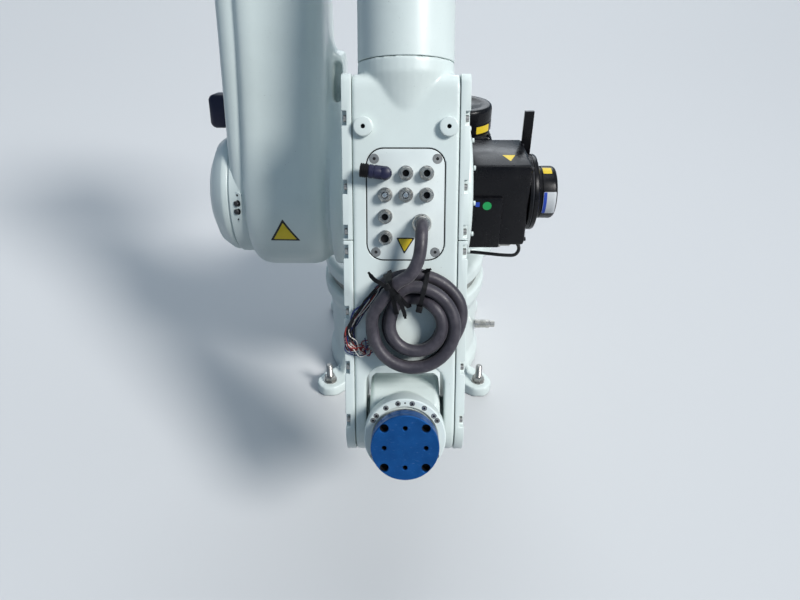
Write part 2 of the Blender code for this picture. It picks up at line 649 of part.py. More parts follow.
def build_forearm(forearm):
    half = HOUSING_WIDTH / 2
    core = half - SIDE_COVER - GAP
    outline = arc((0, 0), HOUSING_DEPTH / 2, 180, 360, 16)
    outline += arc((HOUSING_DEPTH / 2 - 0.02, HOUSING_TOP - 0.02), 0.02, 0, 90, 4)
    outline += arc((-HOUSING_DEPTH / 2 + 0.02, HOUSING_TOP - 0.02), 0.02, 90, 180, 4)
    housing = add_plate("wrist_housing", outline, -core, core, forearm, "mint")
    step = (HOUSING_TOP - BLEND_TIP)
    slope = (TUBE_RADIUS - HOUSING_DEPTH / 2) / step
    root = BLEND_TIP - 0.030
    root_radius = HOUSING_DEPTH / 2 - slope * 0.030
    blend = [(0, SEAM_HEIGHT), (TUBE_RADIUS, SEAM_HEIGHT), (TUBE_RADIUS, HOUSING_TOP),
             (root_radius, root), (0, root)]
    fuse(housing, add_turned("tube_blend_form", blend, forearm, steps=40))
    gap = FORK_GAP / 2
    slot = rounded_rectangle(-gap, gap, -HOUSING_DEPTH, FORK_TOP, FORK_CORNER, 6)
    cut(housing, add_plate("fork_slot", slot, -HOUSING_DEPTH, HOUSING_DEPTH, forearm, plane="front"))
    build_side_covers(forearm, half, core)
    build_tube(forearm)
    back = HOUSING_DEPTH / 2 + GAP
    cover = rounded_rectangle(-REAR_PLATE_WIDTH / 2, REAR_PLATE_WIDTH / 2, REAR_PLATE_LOW, REAR_PLATE_HIGH,
                              REAR_PLATE_CORNER)
    add_plate("housing_rear_cover", cover, back, back + REAR_PLATE_THICKNESS, forearm, "mint", "front")
    build_panel(forearm, housing)
    build_cable(forearm)


def build_side_covers(forearm, half, core):
    lower = arc((0, 0), HOUSING_DEPTH / 2, 180, 360, 16)
    lower += [(HOUSING_DEPTH / 2, COVER_SPLIT - GAP), (-HOUSING_DEPTH / 2, COVER_SPLIT - GAP)]
    corner = HOUSING_CORNER
    upper = [(-HOUSING_DEPTH / 2, COVER_SPLIT), (HOUSING_DEPTH / 2, COVER_SPLIT)]
    upper += arc((HOUSING_DEPTH / 2 - corner, HOUSING_TOP - corner), corner, 0, 90, 4)
    upper += arc((-HOUSING_DEPTH / 2 + corner, HOUSING_TOP - corner), corner, 90, 180, 4)
    for side, word in ((-1, "left"), (1, "right")):
        start, end = sorted((side * (core + GAP), side * half))
        add_plate(f"{word}_cover_lower", lower, start, end, forearm, "mint", edge=COVER_EDGE, steps=1)
        add_plate(f"{word}_cover_upper", upper, start, end, forearm, "mint", edge=COVER_EDGE, steps=1)


def build_tube(forearm):
    top = FOREARM_LENGTH - BARREL_FRONT - GAP
    profile = [(0, top), (TUBE_FLANGE_RADIUS, top), (TUBE_FLANGE_RADIUS, top - TUBE_FLANGE_LENGTH),
               (TUBE_RADIUS + 0.008, top - TUBE_FLANGE_LENGTH),
               (TUBE_RADIUS, top - TUBE_FLANGE_LENGTH - TUBE_FLARE_LENGTH),
               (TUBE_RADIUS, SEAM_HEIGHT + GAP), (0, SEAM_HEIGHT + GAP)]
    add_turned("forearm_tube", profile, forearm, "mint", steps=40)


def panel_places():
    """Where the air ports sit on the panel, in columns and rows from the top left."""
    spots = [(1, 0), (2, 0), (0, 1), (1, 1), (2, 1), (0, 2), (0, 3)]
    return [(PORT_LEFT + PORT_PITCH_X * column, PANEL_HEIGHT + PORT_TOP - PORT_PITCH_Z * row)
            for column, row in spots]


def build_panel(forearm, housing):
    face = -HOUSING_DEPTH / 2
    low, high = PANEL_HEIGHT - PANEL_LENGTH / 2, PANEL_HEIGHT + PANEL_LENGTH / 2
    half = PANEL_WIDTH / 2
    wide = half + PANEL_GROOVE
    recess = rounded_rectangle(-wide, wide, low - PANEL_GROOVE, high + PANEL_GROOVE, PANEL_CORNER + PANEL_GROOVE)
    cut(housing, add_plate("panel_recess", recess, face - 0.02, face + PANEL_THICKNESS, forearm, plane="front"))
    outline = rounded_rectangle(-half, half, low, high, PANEL_CORNER)
    panel = add_plate("connector_panel", outline, face, face + PANEL_THICKNESS - GAP, forearm, "mint", "front")
    fuse(panel, *port_forms(forearm, -face - 0.002))
    add_rod("cable_gland", GLAND_RADIUS, GAP - face, GAP - face + GLAND_LENGTH, forearm, "grey metal", "-Y",
            (GLAND_X, 0, PANEL_HEIGHT - GLAND_DROP), 0.003, 16)
    place = (PORT_LEFT, 0, PANEL_HEIGHT + PORT_TOP)
    start = GAP - face
    stem = [(0, start + 0.030), (0.0085, start + 0.030), (0.0085, start + 0.004), (PORT_NUT, start + 0.004),
            (PORT_NUT, start), (0, start)]
    fitting = add_turned("panel_elbow_fitting", stem, forearm, "navy", "-Y", place, 12)
    arm = add_rod("elbow_fitting_form", 0.0085, 0, 0.036, forearm, axis="-X",
                  at=(PORT_LEFT, -start - 0.022, PANEL_HEIGHT + PORT_TOP), steps=12)
    fuse(fitting, arm)
    for side, word in ((-1, "left"), (1, "right")):
        button = [(0, BOSS_LENGTH - face), (0.003, BOSS_LENGTH - face), (BOSS_RADIUS - 0.002, BOSS_LENGTH - face),
                  (BOSS_RADIUS, BOSS_LENGTH - 0.002 - face), (BOSS_RADIUS, GAP - face), (0, GAP - face)]
        add_turned(f"{word}_front_boss", button, forearm, "mint", "-Y", (side * BOSS_X, 0, BOSS_HEIGHT), 20)


def port_forms(forearm, start):
    """Seven air ports on the panel: a nut with a ring and an open bore."""
    end = start + PORT_LENGTH
    neck = start + PORT_LENGTH * 0.6
    profile = [(0, start + 0.006), (PORT_BORE, start + 0.006), (PORT_BORE, end), (PORT_NUT * 0.75, end),
               (PORT_NUT * 0.75, neck), (PORT_NUT, neck), (PORT_NUT, start), (0, start)]
    return [add_turned(f"air_port_form_{k + 1}", profile, forearm, axis="-Y", at=(x, 0, z), steps=12)
            for k, (x, z) in enumerate(panel_places())]


def lead_route():
    """The cable's free stretch, from the gland over the face to the coil."""
    face = HOUSING_DEPTH / 2
    start = face + GAP + GLAND_LENGTH + GAP
    return [(GLAND_X, -start, PANEL_HEIGHT - GLAND_DROP),
            (GLAND_X, -start - 0.010, PANEL_HEIGHT - GLAND_DROP),
            (GLAND_X - 0.001, -start - 0.022, PANEL_HEIGHT - GLAND_DROP - 0.010),
            (GLAND_X - 0.002, -start - 0.027, PANEL_HEIGHT - GLAND_DROP - 0.028),
            (GLAND_X - 0.006, -start - 0.023, PANEL_HEIGHT - GLAND_DROP - 0.050),
            (0.010, -start - 0.014, PANEL_HEIGHT - GLAND_DROP - LEAD_DROP + 0.014)]


def build_cable(forearm):
    add_tube("cable_lead", smooth_route(lead_route(), 0.009), CABLE_RADIUS, forearm, "cable")
    coil_top = PANEL_HEIGHT - GLAND_DROP - LEAD_DROP
    coil_bottom = WRIST_RING_RADIUS + COIL_CLEARANCE
    outer = (coil_top - coil_bottom) / 2
    inner = outer * COIL_HOLE_SHARE
    start = HOUSING_DEPTH / 2 + GAP
    end = start + COIL_THICKNESS
    ring = [(inner, end - COIL_EDGE), (inner + COIL_EDGE, end), (outer - COIL_EDGE, end),
            (outer, end - COIL_EDGE), (outer, start + COIL_SEAT_EDGE), (outer - COIL_SEAT_EDGE, start),
            (inner + COIL_SEAT_EDGE, start), (inner, start + COIL_SEAT_EDGE), (inner, end - COIL_EDGE)]
    add_turned("cable_coil", ring, forearm, "cable", "-Y", (COIL_X, 0, (coil_top + coil_bottom) / 2), 28)


def build_wrist(wrist):
    half = WRIST_WIDTH / 2
    body = add_rod("wrist_body", WRIST_DRUM_RADIUS, -half, half, wrist, "mint", "X", edge=0.006)
    pivot = FORK_GAP / 2 - GAP
    trunnions = add_rod("wrist_pivot_form", WRIST_PIVOT_RADIUS, -pivot, pivot, wrist, axis="X", steps=20)
    neck = add_rod("wrist_neck_form", WRIST_NECK_RADIUS, 0, WRIST_NECK_LENGTH - GAP, wrist, axis="-Y")
    fuse(body, trunnions, neck)
    add_rod("wrist_ring", WRIST_RING_RADIUS, WRIST_NECK_LENGTH, WRIST_NECK_LENGTH + WRIST_RING_LENGTH, wrist,
            "mint", "-Y", edge=0.003, steps=40)


def build_flange(flange):
    """Tool flange and the blue plate on it. The frame's Z axis is the flange's axis."""
    add_rod("tool_flange", FLANGE_RADIUS, GAP, FLANGE_LENGTH, flange, "steel", edge=0.001)
    start = FLANGE_LENGTH + GAP
    end = start + PLATE_LENGTH
    plate = add_rod("adaptor_plate", PLATE_RADIUS, start, end, flange, "blue", edge=0.0015, steps=40)
    for column in (-1, 0, 1):
        for row in (-1, 0, 1):
            if column or row:
                radius = PLATE_LARGE_HOLE if column and row else PLATE_SMALL_HOLE
                at = (column * PLATE_HOLE_PITCH, row * PLATE_HOLE_PITCH, 0)
                hole = add_rod(f"plate_hole_{column + 1}_{row + 1}", radius, end - PLATE_HOLE_DEPTH, end + 0.01,
                               flange, at=at, steps=12)
                cut(plate, hole)


def build_robot():
    floor = make_frame("base_frame", None, (0, 0, 0))
    turret = make_frame("turret_frame", floor, (0, 0, 0))
    arm = make_frame("lower_arm_frame", turret, (0, -SHOULDER_FORWARD, SHOULDER_HEIGHT), -LOWER_ARM_LEAN)
    fold = LOWER_ARM_LEAN - FOREARM_TILT
    elbow = make_frame("elbow_frame", arm, (0, 0, LOWER_ARM_LENGTH), fold)
    forearm = make_frame("forearm_frame", elbow, (0, -ELBOW_OFFSET, -FOREARM_LENGTH))
    wrist = make_frame("wrist_frame", forearm, (0, 0, 0))
    reach = WRIST_NECK_LENGTH + WRIST_RING_LENGTH
    flange = make_frame("flange_frame", wrist, (0, -reach, 0), 90)
    bpy.context.view_layer.update()
    build_base(floor)
    build_turret(turret)
    build_lower_arm(arm)
    build_elbow(elbow)
    build_forearm(forearm)
    build_wrist(wrist)
    build_flange(flange)


clear_scene()
PARTS = make_collection("robot_arm")
CUTTERS = make_collection("cutters")
PAINTS = {
    "mint": make_material("mint paint", (0.70, 0.76, 0.72), 0.38),
    "black": make_material("black motor paint", (0.015, 0.015, 0.018), 0.35),
    "blue": make_material("blue anodised", (0.02, 0.13, 0.42), 0.35, 0.6),
    "navy": make_material("navy plastic", (0.03, 0.04, 0.12), 0.45),
    "grey metal": make_material("nickel", (0.50, 0.49, 0.47), 0.35, 0.9),
    "steel": make_material("ground steel", (0.42, 0.42, 0.42), 0.35, 1.0),
    "cable": make_material("cable sheath", (0.07, 0.06, 0.08), 0.55),
}
build_robot()
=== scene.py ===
import math
import random

import bmesh
import bpy
from mathutils import Matrix, Vector
from mathutils.bvhtree import BVHTree


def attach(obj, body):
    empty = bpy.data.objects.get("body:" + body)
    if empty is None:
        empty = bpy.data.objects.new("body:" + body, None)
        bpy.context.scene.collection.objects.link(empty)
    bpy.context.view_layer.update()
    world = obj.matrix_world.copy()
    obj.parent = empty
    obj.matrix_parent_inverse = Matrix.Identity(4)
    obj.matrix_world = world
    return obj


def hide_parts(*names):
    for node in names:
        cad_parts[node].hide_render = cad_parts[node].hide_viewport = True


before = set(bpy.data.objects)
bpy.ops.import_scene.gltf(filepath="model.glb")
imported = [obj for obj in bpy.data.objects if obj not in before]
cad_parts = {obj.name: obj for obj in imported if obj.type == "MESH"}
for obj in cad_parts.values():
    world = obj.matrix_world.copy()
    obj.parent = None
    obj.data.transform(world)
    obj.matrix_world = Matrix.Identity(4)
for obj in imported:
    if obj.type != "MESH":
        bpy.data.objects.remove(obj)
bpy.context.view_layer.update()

RANDOM = random.Random(7)
SIDES = ((-1, "left"), (1, "right"))


# Places: matrices whose +Z is the way that a turned or flat piece points

def at(x, y, z):
    return Matrix.Translation((x, y, z))


def rotated(degrees, axis):
    return Matrix.Rotation(math.radians(degrees), 4, axis)


def spun(most=1):
    """A chance turn about +Z of up to so many radians."""
    return Matrix.Rotation(RANDOM.random() * most, 4, "Z")


FACINGS = {"X": rotated(90, "Y"), "-X": rotated(-90, "Y"), "Y": rotated(-90, "X"), "-Y": rotated(90, "X"),
           "-Z": rotated(180, "X")}


def facing(origin, axis):
    """The origin with its +Z turned to one of its own axes."""
    return origin @ FACINGS[axis]


# Sizes that the pieces here share with the CAD parts
FACE = 0.058                        # from the forearm's axis to the wrist housing's front
HALF_WIDTH = 0.095                  # half the housing's width
PANEL_Z = 0.352
GLAND = (0.024, 0.324)
COIL_X, COIL_Z = 0.012, 0.167
COIL_RADII = (0.0395, 0.0622)       # the inner and outer laps, at the middle of the strand
COIL_LAYERS = (0.0688, 0.0884)      # the back and front laps' distance from the forearm's axis
COIL_START, COIL_END = 150, 1568    # running angles in degrees
CABLE_RADIUS = 0.0095
MOTOR_CABLE_RADIUS = 0.0037
ARM_LENGTH = 0.8
ARM_RADII = (0.151, 0.118)          # the lower arm's outline at the shoulder and at the elbow
ARM_SIDE_X = -0.340
RING_OUT = 0.106                    # from the wrist's axis to the ring's face
PORT_STEP = (0.031, 0.032)
FIRST_PORT = (-0.031, 0.399)
TURNING_MOTOR = (0.132, 0.065)
ROLL_MOTOR = (0, -0.165)

# The frames that the CAD parts are built in
TILT = rotated(-23.3, "X")
SHOULDER = at(0, -0.15, 0.53)
ARM = SHOULDER @ rotated(-11.0, "X")
ELBOW = at(0, 0.002647, 1.315302) @ TILT
FOREARM = at(0, -0.601400, 0.329864) @ TILT
FLANGE = facing(FOREARM @ at(0, -RING_OUT, 0), "-Y")
FACE_FRAME = facing(FOREARM @ at(0, -FACE, 0), "-Y")


def on_face(x, z, out=0.0):
    """A place on the wrist housing's front, pointing out of it."""
    return FACE_FRAME @ at(x, z, out)


def face_point(x, out, z):
    """A world point from the forearm's x, the distance out from its axis, and its z."""
    return FOREARM @ Vector((x, -out, z))


# Camera

LENS, SENSOR_WIDTH = 28.8, 36.0
PHOTO_WIDTH, PHOTO_HEIGHT = 800, 600

# Places on the lower arm, in the photograph's pixels
STICKER_PIXEL = (284.5, 233.3)
STICKER_CORNER_PIXELS = ((282.2, 219.2), (270.8, 240.2), (300.6, 240.6))
STRIP_PIXEL = (238.5, 207)


def linked(name, data):
    obj = bpy.data.objects.new(name, data)
    bpy.context.collection.objects.link(obj)
    return obj


def make_camera():
    data = bpy.data.cameras.new("camera")
    data.sensor_width = SENSOR_WIDTH
    data.lens = LENS
    data.clip_start = 0.05
    camera = linked("camera", data)
    camera.location = (-0.004, -1.39, 1.10)
    camera.rotation_euler = (math.radians(55.7), 0.0, math.radians(0.3))
    bpy.context.scene.camera = camera


# Materials

def new_surface(name, **sockets):
    """A Principled material with constants on its shader's sockets."""
    material = bpy.data.materials.new(name)
    material.use_nodes = True
    shader = material.node_tree.nodes["Principled BSDF"]
    for socket, value in sockets.items():
        shader.inputs[socket.replace("_", " ")].default_value = value
    return material, material.node_tree, shader


def noise(tree, scale, detail=3.0, roughness=0.5, stretch=(1, 1, 1)):
    place = tree.nodes.new("ShaderNodeTexCoord")
    mapping = tree.nodes.new("ShaderNodeMapping")
    mapping.inputs["Scale"].default_value = stretch
    texture = tree.nodes.new("ShaderNodeTexNoise")
    for socket, value in (("Scale", scale), ("Detail", detail), ("Roughness", roughness)):
        texture.inputs[socket].default_value = value
    tree.links.new(place.outputs["Object"], mapping.inputs["Vector"])
    tree.links.new(mapping.outputs["Vector"], texture.inputs["Vector"])
    return texture.outputs["Fac"]


def noise_range(tree, texture, low, high, start, end):
    """Noise with its values from start to end spread from low to high. texture: what noise() takes."""
    node = tree.nodes.new("ShaderNodeMapRange")
    for socket, value in (("From Min", start), ("From Max", end), ("To Min", low), ("To Max", high)):
        node.inputs[socket].default_value = value
    tree.links.new(noise(tree, *texture), node.inputs["Value"])
    return node.outputs["Result"]


def combined(tree, operation, first, second):
    node = tree.nodes.new("ShaderNodeMath")
    node.operation = operation
    tree.links.new(first, node.inputs[0])
    tree.links.new(second, node.inputs[1])
    return node.outputs[0]


def blend_colors(tree, factor, first, second):
    node = tree.nodes.new("ShaderNodeMix")
    node.data_type = "RGBA"
    tree.links.new(factor, node.inputs["Factor"])
    for socket, value in ((node.inputs[6], first), (node.inputs[7], second)):
        if isinstance(value, tuple):
            socket.default_value = (*value, 1.0)
        else:
            tree.links.new(value, socket)
    return node.outputs[2]


def darker(color, share):
    return tuple(channel * share for channel in color)


def dressed(surface, color, rough, *bumps):
    """Links a surface's colour, its roughness for noise_range() and its bumps: (texture, strength, metres)."""
    material, tree, shader = surface
    tree.links.new(color, shader.inputs["Base Color"])
    tree.links.new(noise_range(tree, *rough), shader.inputs["Roughness"])
    previous = None
    for texture, strength, distance in bumps:
        node = tree.nodes.new("ShaderNodeBump")
        node.inputs["Strength"].default_value = strength
        node.inputs["Distance"].default_value = distance
        tree.links.new(noise(tree, *texture), node.inputs["Height"])
        if previous:
            tree.links.new(previous, node.inputs["Normal"])
        previous = node.outputs["Normal"]
    tree.links.new(previous, shader.inputs["Normal"])
    return material


def make_paint(name, color, dirt, rough=0.34):
    """Sprayed enamel on a casting: orange peel, faint stains and specks."""
    surface = new_surface(name, Coat_Weight=0.25, Coat_Roughness=0.18)
    tree = surface[1]
    stained = blend_colors(tree, noise_range(tree, (5.0, 6.0, 0.62), 0.0, 0.5, 0.46, 0.78), color, dirt)
    specks = noise_range(tree, (240.0, 2.0, 0.6), 0.0, 0.35, 0.70, 0.78)
    return dressed(surface, blend_colors(tree, specks, stained, darker(dirt, 0.55)),
                   ((14.0, 5.0), rough - 0.05, rough + 0.14, 0.35, 0.7),
                   ((420.0, 2.0), 0.12, 0.0003), ((45.0, 3.0), 0.12, 0.0010))


def make_metal(name, color, rough, scratch=0.25, stretch=(1, 1, 1)):
    surface = new_surface(name, Metallic=1.0)
    tree = surface[1]
    tarnish = noise_range(tree, (60.0, 5.0, 0.6), 0.0, 1.0, 0.35, 0.75)
    lines = (700.0, 3.0, 0.6, stretch)
    return dressed(surface, blend_colors(tree, tarnish, color, darker(color, 0.62)),
                   (lines, rough, rough + 0.18, 0.3, 0.7), (lines, scratch, 0.0002))


def make_plastic(name, color, rough, scale=500.0, bump=0.1, share=0.8, gloss=0.5):
    surface = new_surface(name, Specular_IOR_Level=gloss)
    tree = surface[1]
    cloud = noise_range(tree, (24.0, 5.0, 0.6), 0.0, 1.0, 0.35, 0.75)
    return dressed(surface, blend_colors(tree, cloud, color, darker(color, share)),
                   ((40.0, 4.0), rough, rough + 0.15, 0.35, 0.7), ((scale, 2.0), bump, 0.0002))


def make_label(name, color, rough):
    return make_plastic(name, color, rough, 60.0, 0.05, 0.9)


def make_black_enamel():
    """Motor paint with dust on it."""
    surface = new_surface("black enamel", Specular_IOR_Level=0.20)
    tree = surface[1]
    dust = combined(tree, "MULTIPLY", noise_range(tree, (18.0, 8.0, 0.7), 0.0, 0.55, 0.5, 0.85),
                    noise_range(tree, (160.0, 3.0, 0.7), 0.0, 1.0, 0.4, 0.7))
    return dressed(surface, blend_colors(tree, dust, (0.0045, 0.0045, 0.0060), (0.042, 0.040, 0.038)),
                   ((30.0, 5.0), 0.20, 0.40, 0.35, 0.7), ((380.0, 3.0), 0.14, 0.0004), ((60.0,), 0.1, 0.001))


def make_anodised():
    surface = new_surface("blue anodised", Metallic=0.72)
    tree = surface[1]
    cloud = noise_range(tree, (28.0, 6.0, 0.65), 0.0, 1.0, 0.35, 0.7)
    body = blend_colors(tree, cloud, (0.006, 0.078, 0.27), (0.010, 0.110, 0.36))
    scuff = noise_range(tree, (130.0, 4.0, 0.7, (1, 1, 5)), 0.0, 0.7, 0.62, 0.74)
    return dressed(surface, blend_colors(tree, scuff, body, (0.14, 0.28, 0.52)),
                   ((90.0, 5.0, 0.6), 0.30, 0.50, 0.3, 0.7), ((900.0, 3.0), 0.12, 0.0002))


def make_sheath():
    """Dark cable jacket, matt, with rubbed places."""
    surface = new_surface("cable sheath", Sheen_Weight=0.12)
    tree = surface[1]
    rub = noise_range(tree, (45.0, 6.0, 0.65), 0.0, 1.0, 0.45, 0.72)
    return dressed(surface, blend_colors(tree, rub, (0.030, 0.026, 0.036), (0.068, 0.060, 0.074)),
                   ((70.0, 4.0), 0.42, 0.62, 0.35, 0.7),
                   ((320.0, 4.0, 0.6), 0.22, 0.0004), ((55.0, 3.0), 0.25, 0.0012))


MINT = make_paint("mint enamel", (0.680, 0.755, 0.735), (0.55, 0.61, 0.58))
MINT_PANEL = make_paint("mint enamel on the panel", (0.680, 0.740, 0.730), (0.50, 0.53, 0.51), 0.40)
BLACK = make_black_enamel()
BLUE = make_anodised()
NICKEL = make_metal("nickel", (0.62, 0.60, 0.56), 0.22)
ZINC = make_metal("zinc plated screws", (0.46, 0.45, 0.43), 0.32)
STEEL = make_metal("ground steel", (0.40, 0.39, 0.37), 0.30, 0.3, (1, 1, 8))
BRIGHT = make_metal("bright plugs", (0.86, 0.86, 0.84), 0.16)
DARK_STEEL = make_metal("blackened steel", (0.06, 0.06, 0.065), 0.35)
NAVY = make_plastic("navy plastic", (0.014, 0.015, 0.046), 0.38, gloss=0.35)
BLACK_PLASTIC = make_plastic("black plastic", (0.005, 0.005, 0.006), 0.46, gloss=0.2)
# DARK is also painted shade: screw sockets, port bores, boss holes, the wrist groove, screw seats, dowel holes and
# the plate's hole linings.
DARK = make_plastic("dark parts and painted shade in holes", (0.006, 0.006, 0.007), 0.6)
SHEATH = make_sheath()
WIRE_BLACK = make_plastic("black wire", (0.008, 0.008, 0.010), 0.4, gloss=0.35)
WIRE_BLUE = make_plastic("blue wire", (0.010, 0.020, 0.110), 0.4)
WIRE_RED = make_plastic("red wire", (0.30, 0.035, 0.03), 0.4)
WIRE_WHITE = make_plastic("white wire", (0.62, 0.60, 0.55), 0.4)
YELLOW = make_label("yellow sticker", (0.78, 0.56, 0.02), 0.42)
GREEN = make_label("green sticker", (0.01, 0.34, 0.09), 0.42)
LABEL_WHITE = make_label("white label", (0.60, 0.62, 0.64), 0.45)
LABEL_BLUE = make_label("blue label", (0.015, 0.06, 0.42), 0.45)


# Making pieces

def shade(mesh, sharp_from):
    mesh.shade_smooth()
    mesh.set_sharp_from_angle(angle=math.radians(sharp_from))


def from_bmesh(name, bm, smooth=True, sharp_from=35):
    mesh = bpy.data.meshes.new(name)
    bmesh.ops.recalc_face_normals(bm, faces=bm.faces)
    bm.to_mesh(mesh)
    bm.free()
    if smooth:
        shade(mesh, sharp_from)
    return linked(name, mesh)


def finish_piece(obj, body, material, replaces=()):
    """Gives a piece its material and body, and hides the CAD nodes it stands for. Faces marked 1 get the dark
    material as painted shade.
    """
    # The marked faces are screw sockets; their dark is painted shade.
    marked = [face.index for face in obj.data.polygons if face.material_index] if obj.type == "MESH" else []
    obj.data.materials.clear()
    obj.data.materials.append(material)
    if marked:
        obj.data.materials.append(DARK)
        for index in marked:
            obj.data.polygons[index].material_index = 1
    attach(obj, body)
    if replaces:
        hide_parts(*replaces)
    return obj


def piece(name, bm, body, material, replaces=()):
    return finish_piece(from_bmesh(name, bm), body, material, replaces)


def bridge(bm, rings):
    """Joins each ring of corners to the next; a ring of one corner closes the form there."""
    for first, second in zip(rings, rings[1:]):
        steps = max(len(first), len(second))
        for k in range(steps):
            after = (k + 1) % steps
            corners = [first[k % len(first)], first[after % len(first)],
                       second[after % len(second)], second[k % len(second)]]
            unique = list(dict.fromkeys(corners))
            if len(unique) > 2:
                bm.faces.new(unique)


def spoke(radius, turn, height):
    return Vector((radius * math.cos(turn), radius * math.sin(turn), height))


def lathe(bm, profile, place, steps=32):
    """Adds a turned form: (radius, height) pairs, open or on the axis at its ends."""
    rings = []
    for radius, height in profile:
        turns = [2 * math.pi * k / steps for k in range(steps)] if radius > 1e-7 else [0]
        rings.append([bm.verts.new(place @ spoke(radius, turn, height)) for turn in turns])
    bridge(bm, rings)


def ribs(count, step, *profile):
    """A stretch of a profile, repeated upwards."""
    return [(radius, height + step * k) for k in range(count) for radius, height in profile]


def turned(name, profile, place, body, material, replaces=(), steps=64):
    bm = bmesh.new()
    lathe(bm, profile, place, steps)
    return piece(name, bm, body, material, replaces)


def hexagon(bm, place, radius, height, turn=0.0):
    return [bm.verts.new(place @ spoke(radius, k * math.pi / 3 + turn, height)) for k in range(6)]


def pocket_head(bm, place, profile, socket, depth):
    """A screw head turned from its profile, with a hexagonal pocket in its top painted dark as shade."""
    steps, top = 24, profile[-1][1]
    lathe(bm, profile, place, steps)
    bm.verts.ensure_lookup_table()
    rim = bm.verts[-steps:]
    high = hexagon(bm, place, socket, top)
    low = hexagon(bm, place, socket, top - depth)
    for k in range(6):
        bm.faces.new((high[k], high[(k + 1) % 6], low[(k + 1) % 6], low[k])).material_index = 1
    bm.faces.new(low).material_index = 1
    share = steps // 6
    for k in range(6):
        corners = [rim[(k * share + j) % steps] for j in range(share + 1)]
        bm.faces.new(corners + [high[(k + 1) % 6], high[k]])


def socket_screw(bm, place, radius, height):
    edge = radius * 0.12
    profile = [(radius, 0), (radius, height - edge), (radius - edge, height)]
    pocket_head(bm, place, profile, radius * 0.55, height * 0.6)


def flat_screw(bm, place, radius=0.0074):
    """A countersunk head: a shallow rim and a flat top."""
    profile = [(radius, -0.0004), (radius, 0.0002), (radius - 0.0004, 0.0005)]
    pocket_head(bm, place, profile, radius * 0.36, 0.0003)


def hex_bolt(bm, place, across, height, washer=0.0):
    """A hexagon head with a chamfered top, on a washer of a thickness."""
    if washer:
        lathe(bm, [(0, 0), (across * 0.68, 0), (across * 0.68, washer), (0, washer)], place, 24)
    corner = across / math.sqrt(3)
    rings = [hexagon(bm, place, factor * corner, washer + level, 0.2)
             for factor, level in ((1, 0.0), (1, height * 0.82), (0.86, height))]
    bridge(bm, rings)
    bm.faces.new(rings[-1])


def arc(center, radius, start, end, count):
    turns = [math.radians(start + (end - start) * k / count) for k in range(count + 1)]
    return [(center[0] + radius * math.cos(t), center[1] + radius * math.sin(t)) for t in turns]


def circle(radius):
    return arc((0, 0), radius, 0, 345, 23)


def rounded_rectangle(left, right, low, high, radius, count=8):
    outline = []
    for x, y, start in ((right - radius, low + radius, -90), (right - radius, high - radius, 0),
                        (left + radius, high - radius, 90), (left + radius, low + radius, 180)):
        outline += arc((x, y), radius, start, start + 90, count)
    return outline


def rounded_block(width, height, radius, count):
    """A rounded rectangle about the origin."""
    return rounded_rectangle(-width / 2, width / 2, -height / 2, height / 2, radius, count)


def middle_of(points):
    return Vector((sum(p[0] for p in points), sum(p[1] for p in points))) / len(points)


def slab(bm, outline, low, high, place, edge=0.0):
    """An outline in XY given thickness along Z, with its top rim chamfered by edge."""
    middle = middle_of(outline)
    half = max(abs(p[0] - middle.x) for p in outline)
    tall = max(abs(p[1] - middle.y) for p in outline)

    def shrunk(by):
        return [(middle.x + (x - middle.x) * (half - by) / half, middle.y + (y - middle.y) * (tall - by) / tall)
                for x, y in outline]

    levels = [(outline, low), (outline, high - edge)]
    if edge:
        levels += [(shrunk(edge * 0.3), high - edge * 0.3), (shrunk(edge), high)]
    rings = [[bm.verts.new(place @ Vector((x, y, level))) for x, y in points] for points, level in levels]
    bridge(bm, rings)
    bm.faces.new(rings[-1])
    bm.faces.new(rings[0][::-1])


def applied(obj):
    """Puts the object's modifiers into its mesh."""
    graph = bpy.context.evaluated_depsgraph_get()
    mesh = bpy.data.meshes.new_from_object(obj.evaluated_get(graph))
    obj.modifiers.clear()
    obj.data = mesh


def soften(obj, rounds):
    smooth = obj.modifiers.new("soft edges", "SMOOTH")
    smooth.factor = 0.5
    smooth.iterations = rounds
    applied(obj)


def add_bevel(obj, width, segments, from_angle):
    bevel = obj.modifiers.new("edges", "BEVEL")
    bevel.width = width
    bevel.segments = segments
    bevel.limit_method = "ANGLE"
    bevel.angle_limit = math.radians(from_angle)
    return bevel


def carve(obj, cutter, bevel=0.0):
    """Cuts the cutter's form out of the piece, then rounds what is sharp."""
    tool = from_bmesh("cutter", cutter, smooth=False)
    cut = obj.modifiers.new("cut", "BOOLEAN")
    cut.operation = "DIFFERENCE"
    cut.object = tool
    if bevel:
        add_bevel(obj, bevel, 3, 40)
    applied(obj)
    bpy.data.objects.remove(tool)


def from_nodes(nodes):
    """The CAD nodes' own solids in world space."""
    bm = bmesh.new()
    for node in nodes:
        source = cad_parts[node]
        start = len(bm.verts)
        bm.from_mesh(source.data)
        bm.verts.ensure_lookup_table()
        bmesh.ops.transform(bm, matrix=source.matrix_world, verts=bm.verts[start:])
    return bm


def soft_cast(name, nodes, body, voxel, rounds, filler=None):
    """The nodes' solids, joined and softened as a sand casting is."""
    bm = from_nodes(nodes)
    if filler:
        extra = bpy.data.meshes.new("filler")
        bmesh.ops.recalc_face_normals(filler, faces=filler.faces)
        filler.to_mesh(extra)
        filler.free()
        bm.from_mesh(extra)
    obj = from_bmesh(name, bm, smooth=False)
    remesh = obj.modifiers.new("even mesh", "REMESH")
    remesh.mode = "VOXEL"
    remesh.voxel_size = voxel
    remesh.use_smooth_shade = True
    soften(obj, rounds)
    obj.data.shade_smooth()
    return finish_piece(obj, body, MINT, nodes)


